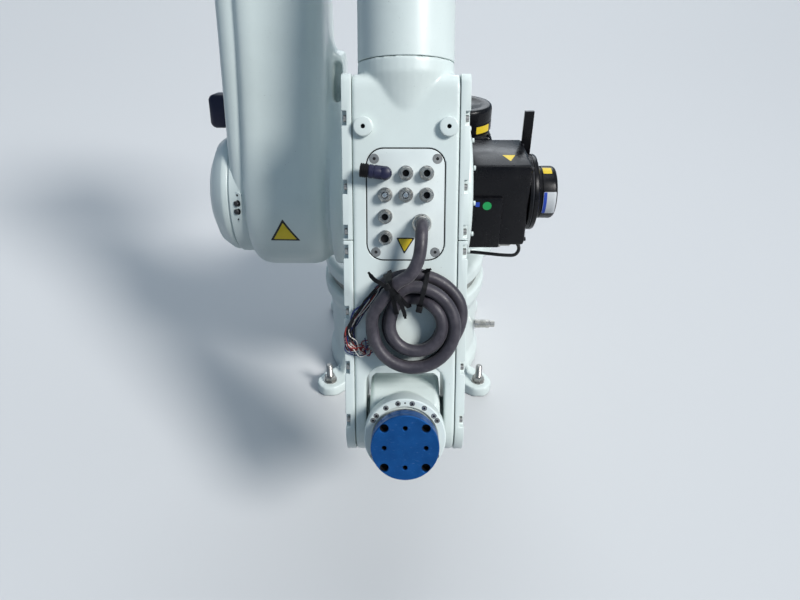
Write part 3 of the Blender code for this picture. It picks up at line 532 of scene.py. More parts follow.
def rounded_copy(node, body, material, edge, segments=2):
    """A CAD node's own shape, with its edges rounded and its round faces smooth."""
    bm = from_nodes([node])
    bmesh.ops.remove_doubles(bm, verts=bm.verts, dist=1e-6)
    bmesh.ops.dissolve_limit(bm, angle_limit=math.radians(0.4), verts=bm.verts, edges=bm.edges)
    obj = from_bmesh(node + "_shape", bm, sharp_from=30)
    add_bevel(obj, edge, segments, 30).harden_normals = True
    applied(obj)
    return finish_piece(obj, body, material, [node])


# Cords

def smooth_route(route, spacing):
    places = [Vector(p) for p in route]
    padded = [2 * places[0] - places[1]] + places + [2 * places[-1] - places[-2]]
    points = []
    for a, b, c, d in zip(padded, padded[1:], padded[2:], padded[3:]):
        count = max(1, round((c - b).length / spacing))
        for k in range(count):
            t = k / count
            points.append(0.5 * (2 * b + (c - a) * t + (2 * a - 5 * b + 4 * c - d) * t * t
                                 + (3 * b - a - 3 * c + d) * t ** 3))
    return points + [places[-1]]


def tube_curve(name, routes, radius, resolution=5):
    """Round tubes of one radius, one along each route."""
    curve = bpy.data.curves.new(name, "CURVE")
    curve.dimensions = "3D"
    curve.bevel_depth = radius
    curve.bevel_resolution = resolution
    curve.use_fill_caps = True
    for route in routes:
        spline = curve.splines.new("POLY")
        spline.points.add(len(route) - 1)
        for point, place in zip(spline.points, route):
            point.co = (*place, 1.0)
        spline.use_smooth = True
    return linked(name, curve)


def eased(share):
    return share * share * (3 - 2 * share)


def coil_place(degrees, across, up, radius, out):
    angle = math.radians(degrees)
    return COIL_X + across + radius * math.cos(angle), out, COIL_Z + up + radius * math.sin(angle)


def coil_section(degrees):
    """The strand at a running angle: its lap's centre from the coil's, its radius and its distance out."""
    (inner, outer), (back, front) = COIL_RADII, COIL_LAYERS
    last = 0.0812
    keys = [(COIL_START, 0, 0, 0.0660, 0.0970), (190, 0.001, 0.002, outer, front),
            (455, 0.001, 0.003, outer, front), (520, 0.004, 0.006, inner, front),
            (760, 0.004, 0.006, inner, front), (825, 0.003, 0.004, inner + 0.002, back),
            (1060, 0.002, 0.003, inner + 0.002, back), (1125, 0, -0.001, outer + 0.0015, back),
            (1410, 0, 0, outer + 0.0015, back), (1475, 0, 0, last, back), (COIL_END, 0, 0, last, back + 0.004)]
    for first, second in zip(keys, keys[1:]):
        if degrees <= second[0]:
            t = eased((degrees - first[0]) / (second[0] - first[0]))
            return tuple(a + (b - a) * t for a, b in zip(first[1:], second[1:]))
    return keys[-1][1:]


def build_cable():
    """The cable out of the panel's gland and round its coil."""
    start = FACE + 0.0003 + 0.018 + 0.0003
    x, z = GLAND
    local = [(x, start, z), (x, start + 0.010, z), (x - 0.001, start + 0.022, z - 0.010),
             (x - 0.002, start + 0.028, z - 0.028), (x - 0.006, start + 0.030, z - 0.050),
             (0.006, start + 0.031, 0.253), (-0.016, start + 0.029, 0.238)]
    for degrees in range(COIL_START, COIL_END + 1, 8):
        across, up, radius, out = coil_section(degrees)
        radius += 0.0004 * math.sin(math.radians(degrees * 1.7))
        out += 0.0003 * math.sin(math.radians(degrees * 0.9))
        local.append(coil_place(degrees, across, up, radius, out))
    points = smooth_route([face_point(*p) for p in local], 0.005)
    cable = tube_curve("panel_cable", [points], CABLE_RADIUS)
    return finish_piece(cable, "forearm", SHEATH, ["cable_lead", "cable_coil"]), points


def build_wires():
    """The stripped cores at the cable's bare end: dark ones first, then the thin coloured ones."""
    start = Vector(coil_place(COIL_END, *coil_section(COIL_END)))
    least_x, least_out = -0.0935, FACE + 0.0018
    dark = [(-0.046, 0.0725, 0.221), (-0.061, 0.0700, 0.203), (-0.074, 0.0670, 0.182),
            (-0.084, 0.0640, 0.161), (-0.0875, 0.0630, 0.148)]
    bright = [(-0.047, 0.0720, 0.218), (-0.064, 0.0690, 0.196), (-0.080, 0.0650, 0.173),
              (-0.0895, 0.0625, 0.153), (-0.0840, 0.0610, 0.135), (-0.068, 0.0605, 0.127),
              (-0.0560, 0.0620, 0.130), (-0.0530, 0.0640, 0.136)]
    cores = [(dark, 0.0013, WIRE_BLACK)] * 8 + [(dark, 0.0013, WIRE_BLUE)] * 2
    cores += [(bright, 0.0009, color) for color in (WIRE_RED, WIRE_WHITE, WIRE_RED, WIRE_BLUE) * 3]
    bundles = {}
    for k, (route, radius, material) in enumerate(cores):
        turn = k * 2.4
        fan = Vector((0.0050 * math.cos(turn), 0.0042 * math.sin(turn), 0.0))
        points = [start + fan * 0.9 + Vector((0.002, 0, 0.002)), start + fan + Vector((-0.003, -0.0004, -0.003))]
        for j, place in enumerate(route):
            wobble = Vector((RANDOM.uniform(-1, 1), RANDOM.uniform(0, 0.6), RANDOM.uniform(-1, 1)))
            points.append(Vector(place) + fan * 0.6 + wobble * (0.0022 + 0.0017 * j))
        places = [face_point(max(p.x, least_x), max(p.y, least_out), p.z) for p in points]
        bundles.setdefault((material, radius), []).append(smooth_route(places, 0.003))
    return [finish_piece(tube_curve(f"bare_wires_{k + 1}", routes, radius, 2), "forearm", material)
            for k, ((material, radius), routes) in enumerate(bundles.items())]


def hull(points):
    """Corners of the tightest loop round points in a plane."""
    ordered = sorted(points)

    def chain(source):
        kept = []
        for p in source:
            while len(kept) > 1 and ((kept[-1][0] - kept[-2][0]) * (p[1] - kept[-2][1])
                                     <= (kept[-1][1] - kept[-2][1]) * (p[0] - kept[-2][0])):
                kept.pop()
            kept.append(p)
        return kept[:-1]

    return chain(ordered) + chain(ordered[::-1])


def flat_strip(name, points, width, thickness):
    """A thin strap along points, its width across the face's normal."""
    normal = FOREARM.to_3x3() @ Vector((0, -1, 0))
    bm = bmesh.new()
    rings = []
    for k, point in enumerate(points):
        ahead = (points[min(k + 1, len(points) - 1)] - points[max(k - 1, 0)]).normalized()
        side = ahead.cross(normal).normalized()
        up = side.cross(ahead).normalized()
        taper = 1.0 if k < len(points) - 2 else 0.6
        rings.append([bm.verts.new(point + side * width / 2 * taper * a + up * thickness / 2 * b)
                      for a, b in ((-1, -1), (1, -1), (1, 1), (-1, 1))])
    bridge(bm, rings)
    bm.faces.new(rings[0][::-1])
    bm.faces.new(rings[-1])
    return from_bmesh(name, bm)


def build_tie(name, angle, strands, head, tail, skew=0.0, over=0.0):
    """A nylon tie round the coil's strands: a closed band, its square head and its loose tail."""
    turn = math.radians(angle)
    radial = Vector((math.cos(turn), 0, math.sin(turn)))
    along = Vector((-math.sin(turn), 0, math.cos(turn)))
    centre = Vector((COIL_X, 0, COIL_Z))
    half_band, thickness, half_head = 0.0032, 0.0015, 0.0046

    def place(radius, out, shift=0.0):
        point = centre + radial * radius + along * shift
        return face_point(point.x, out, point.z)

    sampled = []
    for strand in strands:
        sampled += arc(strand, CABLE_RADIUS + 0.0004 + over, 0, 345, 23)
    loop = hull(sampled)
    middle = middle_of(loop)
    bm = bmesh.new()
    rings = []
    for radius, out in loop:
        outward = (Vector((radius, out)) - middle).normalized() * thickness
        lean = skew * (radius - middle.x)
        rings.append([bm.verts.new(place(radius + outward.x * far,
                                         max(out + outward.y * far, FACE + 0.0002 + 0.0003 * far), shift + lean))
                      for far, shift in ((0, -half_band), (1, -half_band), (1, half_band), (0, half_band))])
    bridge(bm, rings + rings[:1])
    band = piece(name, bm, "forearm", BLACK_PLASTIC)
    bm = bmesh.new()
    square = facing(Matrix.Translation(place(*head)) @ FOREARM.to_3x3().to_4x4(), "-Y") @ rotated(angle, "Z")
    slab(bm, rounded_block(2 * half_head, 2 * half_head, 0.0010, 3), -0.0034, 0.0034, square, 0.0008)
    block = piece(name + "_head", bm, "forearm", BLACK_PLASTIC)
    strip = flat_strip(name + "_tail", smooth_route([face_point(*p) for p in tail], 0.003), 0.0058, 0.0013)
    return [band, block, finish_piece(strip, "forearm", BLACK_PLASTIC)]


def build_ties():
    last = (0.0812, 0.0692)
    four = [(radius, out) for radius in (0.045, 0.0650) for out in COIL_LAYERS]
    all_strands = four + [(0.0745, 0.1065), (0.0812, 0.0702)]
    ties = build_tie("tie_left", 113, all_strands, (0.0600, 0.1180),
                     [(-0.0185, 0.1185, 0.2300), (-0.012, 0.1190, 0.222), (-0.006, 0.1160, 0.210),
                      (-0.002, 0.1100, 0.198), (0.000, 0.1060, 0.188)], 0.28)
    ties += build_tie("tie_across", 119, all_strands, (0.0800, 0.1165),
                      [(-0.0270, 0.1170, 0.2370), (-0.036, 0.1200, 0.243), (-0.046, 0.1180, 0.249),
                       (-0.054, 0.1120, 0.258)], -0.34, 0.0018)
    return ties + build_tie("tie_top", 76, four + [last], (0.0345, 0.1000),
                            [(0.0150, 0.0720, 0.2440), (0.0208, 0.0745, 0.2480), (0.0300, 0.0800, 0.2545),
                             (0.0380, 0.0850, 0.2592)])


# Castings

def round_arm_edge(obj):
    """Rounds the lower arm's outer rim. The arm's outline is the hull of a circle at each end."""
    depth, width = 0.072, 0.066
    bottom, top = ARM_RADII
    slope = (bottom - top) / ARM_LENGTH
    rise = math.sqrt(1 - slope * slope)
    inverse = ARM.inverted()
    for vertex in obj.data.vertices:
        spot = inverse @ vertex.co
        side = math.copysign(1, spot.y)
        reach = spot.z * rise - abs(spot.y) * slope
        if reach < 0:
            away = Vector((0, spot.y, spot.z))
            inside, away = bottom - away.length, away.normalized()
        elif reach > ARM_LENGTH * rise:
            away = Vector((0, spot.y, spot.z - ARM_LENGTH))
            inside, away = top - away.length, away.normalized()
        else:
            away = Vector((0, side * rise, slope))
            inside = bottom - (abs(spot.y) * rise + spot.z * slope)
        across = (ARM_SIDE_X + depth - spot.x) / depth
        along = 1 - inside / width
        if across > 0 and along > 0:
            share = max(across, along) / math.hypot(across, along)
            spot.x = ARM_SIDE_X + depth - across * share * depth
            vertex.co = ARM @ (spot - away * (1 - share) * along * width)
    soften(obj, 8)


def panel_slab(half_width, half_length, radius, low, high, edge=0.0):
    """A rounded slab about the panel's middle on the housing's front."""
    bm = bmesh.new()
    outline = rounded_rectangle(-half_width, half_width, PANEL_Z - half_length, PANEL_Z + half_length, radius)
    slab(bm, outline, low, high, FACE_FRAME, edge)
    return bm


def build_housing():
    """The wrist housing, thickened behind the panel and then recessed for it."""
    filler = panel_slab(0.061, 0.086, 0.026, -0.015, 0.0)
    housing = soft_cast("wrist_housing_cast", ["wrist_housing"], "forearm", 0.0025, 8, filler)
    carve(housing, panel_slab(0.0597, 0.0842, 0.0262, -0.0050, 0.010))


def build_castings():
    build_housing()
    arm = soft_cast("lower_arm_cast", ["lower_arm_casting", "lower_arm_shoulder_boss", "lower_arm_elbow_ring"],
                    "lower_arm", 0.004, 10)
    round_arm_edge(arm)
    for name, node, body, voxel, rounds in (("turret", "turret_casting", "turret", 0.004, 8),
                                            ("base", "base_casting", "base", 0.004, 6),
                                            ("elbow", "elbow_casting", "upper_arm", 0.004, 8),
                                            ("wrist", "wrist_body", "wrist", 0.002, 5)):
        soft_cast(name + "_cast", [node], body, voxel, rounds)
    return arm


# Connector panel

def build_panel():
    piece("panel_gasket", panel_slab(0.0594, 0.0839, 0.0260, -0.0048, -0.0009), "forearm", BLACK_PLASTIC)
    plate = piece("panel_plate", panel_slab(0.0579, 0.0824, 0.0245, -0.004, -0.0001, 0.0008), "forearm",
                  MINT_PANEL, ["connector_panel"])
    bm = bmesh.new()
    for x, z in ((-0.047, 0.420), (0.047, 0.420), (-0.045, 0.281), (0.045, 0.281)):
        flat_screw(bm, on_face(x, z) @ spun())
    piece("panel_screws", bm, "forearm", ZINC)
    return plate


def build_ports():
    """Seven air ports, each a washer, a nut and a threaded body. Two are plugged. The bores are dark cups of
    painted shade.
    """
    nuts, bore_shade, plugs = bmesh.new(), bmesh.new(), bmesh.new()
    washer, floor, rim = 0.0014, 0.0085, 0.0168
    for column, row in ((1, 0), (2, 0), (0, 1), (1, 1), (2, 1), (0, 2), (0, 3)):
        place = on_face(FIRST_PORT[0] + PORT_STEP[0] * column, FIRST_PORT[1] - PORT_STEP[1] * row)
        nut = place @ spun(2)
        lathe(nuts, [(0.0048, 0.0), (0.0112, 0.0), (0.0112, washer), (0.0048, washer)], place)
        hex_bolt(nuts, nut @ at(0, 0, washer), 0.0185, 0.0065)
        bore = 0.0060 if row == 3 else 0.0049
        lathe(nuts, [(0.0088, 0.0070), (0.0088, 0.0135), (0.0082, 0.0142), (0.0076, 0.0142), (0.0074, 0.0136),
                     (0.0071, 0.0136), (0.0070, 0.0162), (0.0066, rim), (bore + 0.0003, rim), (bore, 0.0160),
                     (bore, 0.0084)], place)
        # A dark cup in each bore: painted shade.
        lathe(bore_shade, [(bore - 0.0001, 0.0156), (bore - 0.0001, floor), (0, floor)], place, 24)
        if row == 1 and column < 2:
            lathe(plugs, [(0.0040, 0.0080), (0.0040, 0.0172), (0.0034, 0.0178), (0, 0.0178)], place, 24)
    piece("air_ports", nuts, "forearm", NICKEL)
    piece("air_port_bore_shade", bore_shade, "forearm", DARK)
    piece("air_port_plugs", plugs, "forearm", BRIGHT)


def build_elbow_fitting():
    """The dark elbow on the panel's first port: a ribbed nut, a knee and an outlet that rises to the left."""
    knee = [(0, 0.0003), (0.0104, 0.0003), (0.0104, 0.0026), (0.0092, 0.0032),
            *ribs(3, 0.003, (0.0092, 0.0044), (0.0100, 0.0050), (0.0100, 0.0062)),
            (0.0096, 0.0150), (0.0100, 0.0190), (0.0096, 0.0250), (0.0078, 0.0288), (0.0040, 0.0303), (0, 0.0306)]
    outlet = [(0, -0.002), (0.0082, 0), (0.0100, 0.003), (0.0100, 0.0150), (0.0094, 0.0158), (0.0094, 0.0170),
              (0.0101, 0.0178), (0.0101, 0.0225), (0.0090, 0.0235), (0.0090, 0.0245), (0, 0.0245)]
    collar = [(0.0088, 0.0236),
              *ribs(4, 0.003, (0.0096, 0.0246), (0.0103, 0.0250), (0.0103, 0.0266), (0.0096, 0.0270)),
              (0.0082, 0.0366), (0.0078, 0.0300), (0, 0.0300)]
    sideways = facing(on_face(*FIRST_PORT, 0.0200) @ rotated(-7, "Z"), "-X")
    bm = bmesh.new()
    lathe(bm, knee, on_face(*FIRST_PORT))
    lathe(bm, outlet, sideways)
    piece("elbow_fitting", bm, "forearm", NAVY, ["panel_elbow_fitting"])
    turned("elbow_fitting_end", collar, sideways, "forearm", BLACK_PLASTIC, steps=32)


def build_gland():
    bm = bmesh.new()
    place = on_face(*GLAND)
    lathe(bm, [(0, 0.0003), (0.0150, 0.0003), (0.0150, 0.0020), (0.0135, 0.0022)], place)
    hex_bolt(bm, place @ at(0, 0, 0.0022), 0.0250, 0.0080)
    lathe(bm, [(0.0138, 0.0095), (0.0142, 0.0100), (0.0142, 0.0140), (0.0132, 0.0166), (0.0112, 0.0182),
               (0.0098, 0.0182), (0.0095, 0.0160)], place)
    piece("gland_nut", bm, "forearm", NICKEL, ["cable_gland"])


# Wrist housing

def build_bosses():
    profile = [(0.0150, -0.0002), (0.0146, 0.0010), (0.0140, 0.0018), (0.0140, 0.0090), (0.0133, 0.0098),
               (0.0125, 0.0100), (0.0036, 0.0100), (0.0032, 0.0096), (0.0030, 0.0030), (0, 0.0030)]
    # The dark lining of each boss's hole is painted shade.
    hole = [(0.0029, 0.0094), (0.0029, 0.0034), (0, 0.0034)]
    for side, word in SIDES:
        place = on_face(side * 0.063, 0.466)
        turned(f"{word}_boss", profile, place, "forearm", MINT, [f"{word}_front_boss"], 40)
        turned(f"{word}_boss_hole_shade", hole, place, "forearm", DARK, steps=20)


def build_side_covers():
    """Two covers on each side of the housing, notched along both edges for their screws."""
    core, split, corner, top = 0.0803, 0.299, 0.014, 0.542
    lower = arc((0, 0), FACE, 180, 360, 32) + [(FACE, split - 0.0008), (-FACE, split - 0.0008)]
    upper = [(-FACE, split + 0.0004), (FACE, split + 0.0004)]
    upper += arc((FACE - corner, top - corner), corner, 0, 90, 8)
    upper += arc((-FACE + corner, top - corner), corner, 90, 180, 8)
    levels = (("lower", lower, (0.0092, 0.0975, 0.1862, 0.2812)), ("upper", upper, (0.3115, 0.3786, 0.478)))
    profile_frame = FOREARM @ Matrix(((0, 0, 1, 0), (1, 0, 0, 0), (0, 1, 0, 0), (0, 0, 0, 1)))
    notch_in, notch_out, notch_half, notch_depth, screw_out = 0.043, 0.070, 0.0105, 0.0075, 0.0505
    screws = bmesh.new()
    for side, word in SIDES:
        for level, outline, heights in levels:
            bm = bmesh.new()
            slab(bm, outline, *sorted((side * core, side * HALF_WIDTH)), profile_frame)
            cover = from_bmesh(f"{word}_{level}_cover", bm, smooth=False)
            cutters = bmesh.new()
            for z in heights:
                for out in (-1, 1):
                    notch = [(-out * notch_in, z - notch_half), (-out * notch_out, z - notch_half),
                             (-out * notch_out, z + notch_half), (-out * notch_in, z + notch_half)]
                    slab(cutters, notch, *sorted((side * (HALF_WIDTH - notch_depth), side * (HALF_WIDTH + 0.01))),
                         profile_frame)
                    seat = at(side * (HALF_WIDTH - notch_depth + 0.0001), -out * screw_out, z)
                    socket_screw(screws, FOREARM @ seat @ rotated(90 * side, "Y") @ spun(), 0.0052, 0.0052)
            carve(cover, cutters, 0.0022)
            shade(cover.data, 50)
            finish_piece(cover, "forearm", MINT, [f"{word}_cover_{level}"])
    piece("cover_screws", screws, "forearm", ZINC)


# Wrist and flange

def build_ring():
    """The wrist ring with its groove, its collar, and the screws and dowel holes round it. The groove, the rings
    round the screws and the dowel holes are dark: painted shade.
    """
    profile = [(0.0500, -0.0299), (0.0600, -0.0299), (0.0600, -0.0285), (0.0622, -0.0280), (0.0630, -0.0270),
               (0.0630, -0.0022), (0.0612, 0.0), (0.0515, 0.0), (0.0500, -0.0012), (0.0500, -0.0040), (0, -0.0040)]
    groove = [(0.0500, -0.0335), (0.0592, -0.0335), (0.0592, -0.0299), (0.0500, -0.0299)]
    collar = [(0.0520, -0.0430), (0.0575, -0.0425), (0.0590, -0.0410), (0.0590, -0.0338), (0.0520, -0.0336)]
    turned("wrist_ring_shape", profile, FLANGE, "wrist", MINT, ["wrist_ring"], 96)
    # The dark groove is painted shade in the gap between ring and collar.
    turned("wrist_groove_shade", groove, FLANGE, "wrist", DARK)
    turned("wrist_collar", collar, FLANGE, "wrist", MINT, steps=96)
    # Dark rings round the screws and dots at the dowel holes: painted shade.
    screws, screw_shade = bmesh.new(), bmesh.new()
    screw_radius = 0.0567
    for base in (0, 180):
        for angle in (79, 101, 59, 121, 39.5, 140.5, 30.5, 149.5):
            spot = FLANGE @ rotated(base + angle, "Z") @ at(screw_radius, 0, -0.0006)
            socket_screw(screws, spot @ spun(), 0.0034, 0.0016)
            lathe(screw_shade, [(0.0041, 0.00062), (0.0033, 0.00064)], spot, 20)
        spot = FLANGE @ rotated(base + 90, "Z") @ at(screw_radius, 0, 0.0)
        lathe(screw_shade, [(0.0014, 0.0001), (0, 0.0001)], spot, 12)
    piece("ring_screws", screws, "wrist", ZINC)
    piece("ring_screw_painted_shade", screw_shade, "wrist", DARK)


def build_flange():
    radius = 0.0480
    profile = [(0, 0.0003), (0.0475, 0.0003), (radius, 0.0008), (radius, 0.0108), (0.0468, 0.0118), (0, 0.0118)]
    turned("flange_disc", profile, FLANGE, "flange", STEEL, ["tool_flange"])
    # The dowel holes are dark discs of painted shade.
    holes = bmesh.new()
    for angle in (90, 210, 330):
        lathe(holes, [(0.0026, 0.0002), (0, 0.0002)],
              facing(FLANGE @ rotated(angle, "Z") @ at(radius, 0, 0.006), "X"), 16)
    piece("flange_dowel_hole_shade", holes, "flange", DARK)


def build_plate():
    """The blue plate, turned with fine chamfers, with its two sizes of hole and their countersinks. The holes are
    lined and floored in dark: painted shade.
    """
    start, end, hole_step = 0.0123, 0.0373, 0.031
    profile = [(0, start), (0.0500, start), (0.0510, start + 0.001), (0.0510, start + 0.0118),
               (0.0506, start + 0.0122), (0.0506, start + 0.0128), (0.0510, start + 0.0132),
               (0.0510, end - 0.0012), (0.0498, end), (0, end)]
    bm, cutters, painted_hole_linings = bmesh.new(), bmesh.new(), bmesh.new()
    lathe(bm, profile, FLANGE, 96)
    plate = from_bmesh("blue_plate", bm, smooth=False)
    for column in (-1, 0, 1):
        for row in (-1, 0, 1):
            if column or row:
                radius = 0.0065 if column and row else 0.0036
                spot = FLANGE @ at(column * hole_step, row * hole_step, 0)
                lathe(cutters, [(0, end - 0.016), (radius, end - 0.016), (radius, end - 0.0008),
                                (radius + 0.0008, end), (radius + 0.0008, end + 0.01), (0, end + 0.01)], spot)
                # Dark linings and floors in the holes: painted shade.
                wall = radius - 0.0002
                lathe(painted_hole_linings, [(0, end - 0.0158), (wall, end - 0.0158), (wall, end - 0.004)], spot, 24)
    carve(plate, cutters)
    shade(plate.data, 30)
    finish_piece(plate, "flange", BLUE, ["adaptor_plate"])
    piece("plate_hole_painted_shade", painted_hole_linings, "flange", DARK)


# Anchors, bolts and screws

def build_anchors():
    """A stud, washer and nut through each foot."""
    bm = bmesh.new()
    washer = 0.0028
    thread = [(0.0078, 0.012), *ribs(14, 0.0022, (0.0080, 0.0160), (0.0071, 0.0171)),
              (0.0070, 0.0475), (0.0056, 0.0490), (0, 0.0490)]
    for x in (-0.185, 0.185):
        for y in (-0.175, 0.175):
            spot = at(x, y, 0.028) @ spun()
            lathe(bm, [(0, 0), (0.0165, 0), (0.0165, washer), (0, washer)], spot)
            hex_bolt(bm, spot @ at(0, 0, washer), 0.024, 0.013)
            lathe(bm, thread, spot, 24)
    piece("foot_anchors", bm, "base", ZINC)


def bolt_circles(name, body, material, *circles):
    """Socket screws round circles of (place, count, circle's radius, screw's radius, height, first angle)."""
    bm = bmesh.new()
    for place, count, radius, size, height, first in circles:
        for k in range(count):
            turn = Matrix.Rotation(math.radians(first) + 2 * math.pi * k / count, 4, "Z")
            socket_screw(bm, place @ turn @ at(radius, 0, 0) @ spun(3), size, height)
    piece(name, bm, body, material)


def corner_screws(name, body, material, *groups):
    """Four socket screws at the corners of each group of (place, half width, half height, screw's radius)."""
    bm = bmesh.new()
    for place, half_width, half_height, radius in groups:
        for x in (-half_width, half_width):
            for y in (-half_height, half_height):
                socket_screw(bm, place @ at(x, y, 0), radius, 0.003)
    piece(name, bm, body, material)


def build_bolts():
    """Bolt circles on the joints' rims, covers and motor flanges."""
    bolt_circles("base_rim_bolts", "base", ZINC, (facing(at(0, 0, 0.2250), "-Z"), 12, 0.194, 0.0042, 0.004, 15))
    bolt_circles("shoulder_bolts", "turret", MINT,
                 (facing(SHOULDER @ at(0.1303, 0, 0), "X"), 12, 0.128, 0.0046, 0.004, 15))
    bolt_circles("arm_cover_bolts", "lower_arm", ZINC,
                 (facing(ARM @ at(-0.3650, 0, ARM_LENGTH), "-X"), 8, 0.070, 0.0050, 0.005, 0))
    bolt_circles("elbow_bolts", "upper_arm", ZINC,
                 (facing(ELBOW @ at(0.1150, 0, 0), "X"), 12, 0.104, 0.0045, 0.005, 15),
                 (ELBOW @ at(*ROLL_MOTOR, 0.150), 8, 0.090, 0.0050, 0.005, 22))
    bolt_circles("tube_flange_bolts", "forearm", ZINC,
                 (facing(FOREARM @ at(0, 0, 0.9277), "-Z"), 10, 0.089, 0.0042, 0.005, 18))


# Stickers: blank, with no words or signs

def surface_of(target):
    return BVHTree.FromPolygons([v.co for v in target.data.vertices], [p.vertices for p in target.data.polygons])


def seen(target, px, py):
    """Where the camera sees the target at a pixel of the photograph's frame, with +Z along the normal there."""
    camera = bpy.context.scene.camera.matrix_basis
    focal = PHOTO_WIDTH * LENS / SENSOR_WIDTH
    way = Vector(((px - PHOTO_WIDTH / 2) / focal, (PHOTO_HEIGHT / 2 - py) / focal, -1))
    spot, normal, _, _ = surface_of(target).ray_cast(camera.translation, camera.to_3x3() @ way.normalized())
    return Matrix.Translation(spot) @ normal.to_track_quat("Z", "Y").to_matrix().to_4x4()


def dense(outline, spacing):
    """The same outline with points no further apart than spacing."""
    points = []
    for start, end in zip(outline, outline[1:] + outline[:1]):
        count = max(1, math.ceil((Vector(end) - Vector(start)).length / spacing))
        points += [tuple(Vector(start).lerp(Vector(end), k / count)) for k in range(count)]
    return points


def sticker(name, target, place, outline, body, material, lift=0.0003):
    """A label on the target: the outline is laid onto what is under it along the place's -Z."""
    under = surface_of(target)
    outline = dense(outline, 0.002)
    middle = middle_of(outline)
    down = -(place.to_3x3() @ Vector((0, 0, 1))).normalized()
    bm = bmesh.new()
    rings = []
    for share, height in [(1.0, -0.0003)] + [(k / 8, lift) for k in range(8, -1, -1)]:
        ring = []
        for corner in outline if share else outline[:1]:
            flat = middle + (Vector(corner) - middle) * share
            spot = under.ray_cast(place @ Vector((*flat, 0.02)), down)[0] or place @ Vector((*flat, 0))
            ring.append(bm.verts.new(spot - down * height))
        rings.append(ring)
    bridge(bm, rings)
    return piece(name, bm, body, material)


def triangle(corners, share=1.0):
    """A triangle's outline with rounded corners, shrunk about its middle to a share of its size."""
    radius = 0.0022
    middle = sum((Vector(c) for c in corners), Vector((0, 0))) / 3
    scaled = [middle + (Vector(c) - middle) * share for c in corners]
    points = []
    for k in range(3):
        here, before, after = scaled[k], scaled[k - 1], scaled[(k + 1) % 3]
        first = here + (before - here).normalized() * radius
        last = here + (after - here).normalized() * radius
        for j in range(5):
            t = j / 4
            points.append(tuple(first * (1 - t) ** 2 + here * 2 * t * (1 - t) + last * t * t))
    return points


def warning_triangle(name, target, place, corners, body):
    """A blank yellow triangle with a black edge."""
    sticker(name + "_edge", target, place, triangle(corners), body, DARK)
    sticker(name + "_field", target, place, triangle(corners, 0.77), body, YELLOW, 0.0006)


def build_warning_triangles(plate, arm):
    warning_triangle("panel_sticker", plate, on_face(-0.001, 0.2925),
                     [(-0.0132, 0.0105), (0.0150, 0.0105), (-0.0010, -0.0145)], "forearm")
    place = seen(arm, *STICKER_PIXEL)
    corners = [(place.inverted() @ seen(arm, *pixel).translation).xy for pixel in STICKER_CORNER_PIXELS]
    warning_triangle("arm_sticker", arm, place, corners, "lower_arm")


# Motors

ENCODER_END, ENCODER_RADIUS = facing(SHOULDER @ at(0.2699, 0, 0), "X"), 0.054
CAP_END, CAP_RADIUS = at(*TURNING_MOTOR, 0.5956), 0.066


def can(name, place, radius, length, body, replaces, groove=0.012):
    """A motor's round end cap: a grooved skirt, a rounded rim and a sunken top."""
    waist = radius - 0.0015
    profile = [(0, 0), (radius - 0.0005, 0), (radius, 0.0006), (radius, groove), (waist, groove + 0.0009),
               (waist, groove + 0.0024), (radius, groove + 0.0033), (radius, length - 0.0085),
               (radius - 0.0012, length - 0.0040), (radius - 0.0040, length - 0.0010), (radius - 0.0080, length),
               (radius * 0.62, length), (radius * 0.59, length - 0.0012), (0, length - 0.0012)]
    return turned(name, profile, place, body, BLACK, [replaces], 72)


def round_place(axis, radius, angle, level):
    """On a round piece's side, with +Z outwards, +Y round it and +X down its axis."""
    return facing(axis @ rotated(angle, "Z") @ at(radius, 0, level), "X")


def build_motors():
    shoulder_motor = rounded_copy("j2_motor", "turret", BLACK, 0.0045, 3)
    shoulder_end = facing(SHOULDER @ at(0.2486, 0, 0), "X")
    bell = [(0, 0), (0.0765, 0), (0.0780, 0.0012), (0.0780, 0.0052), (0.0762, 0.0060), (0.0762, 0.0088),
            (0.0780, 0.0096), (0.0780, 0.0150), (0.0762, 0.0182), (0.0690, 0.0208), (0, 0.0208)]
    band = [(0.0755, 0.0062), (0.0771, 0.0063), (0.0771, 0.0085), (0.0755, 0.0086)]
    turned("j2_bell", bell, shoulder_end, "turret", BLACK, ["j2_motor_bell"], 96)
    turned("j2_bell_band", band, shoulder_end, "turret", DARK_STEEL, (), 96)
    encoder = can("j2_encoder", ENCODER_END, ENCODER_RADIUS, 0.040, "turret", "j2_motor_encoder", 0.006)
    rounded_copy("j1_motor", "turret", BLACK, 0.0035, 3)
    cap = can("j1_cap", CAP_END, CAP_RADIUS, 0.055, "turret", "j1_motor_cap", 0.020)
    for node in ("j3_motor", "j4_motor"):
        rounded_copy(node, "upper_arm", BLACK, 0.0035, 3)
    can("j3_encoder", facing(ELBOW @ at(0.2456, 0, 0), "X"), 0.048, 0.040, "upper_arm", "j3_motor_encoder")
    can("j4_encoder", ELBOW @ at(*ROLL_MOTOR, 0.2706), 0.040, 0.035, "upper_arm", "j4_motor_encoder")
    corner_screws("turret_motor_screws", "turret", DARK_STEEL,
                  (facing(SHOULDER @ at(0.2483, 0, 0), "X"), 0.077, 0.064, 0.0042),
                  (at(*TURNING_MOTOR, 0.5953), 0.056, 0.056, 0.0042))
    corner_screws("elbow_motor_screws", "upper_arm", DARK_STEEL,
                  (facing(ELBOW @ at(0.2453, 0, 0), "X"), 0.054, 0.054, 0.0042),
                  (ELBOW @ at(*ROLL_MOTOR, 0.2703), 0.041, 0.041, 0.0038))
    return shoulder_motor, encoder, cap


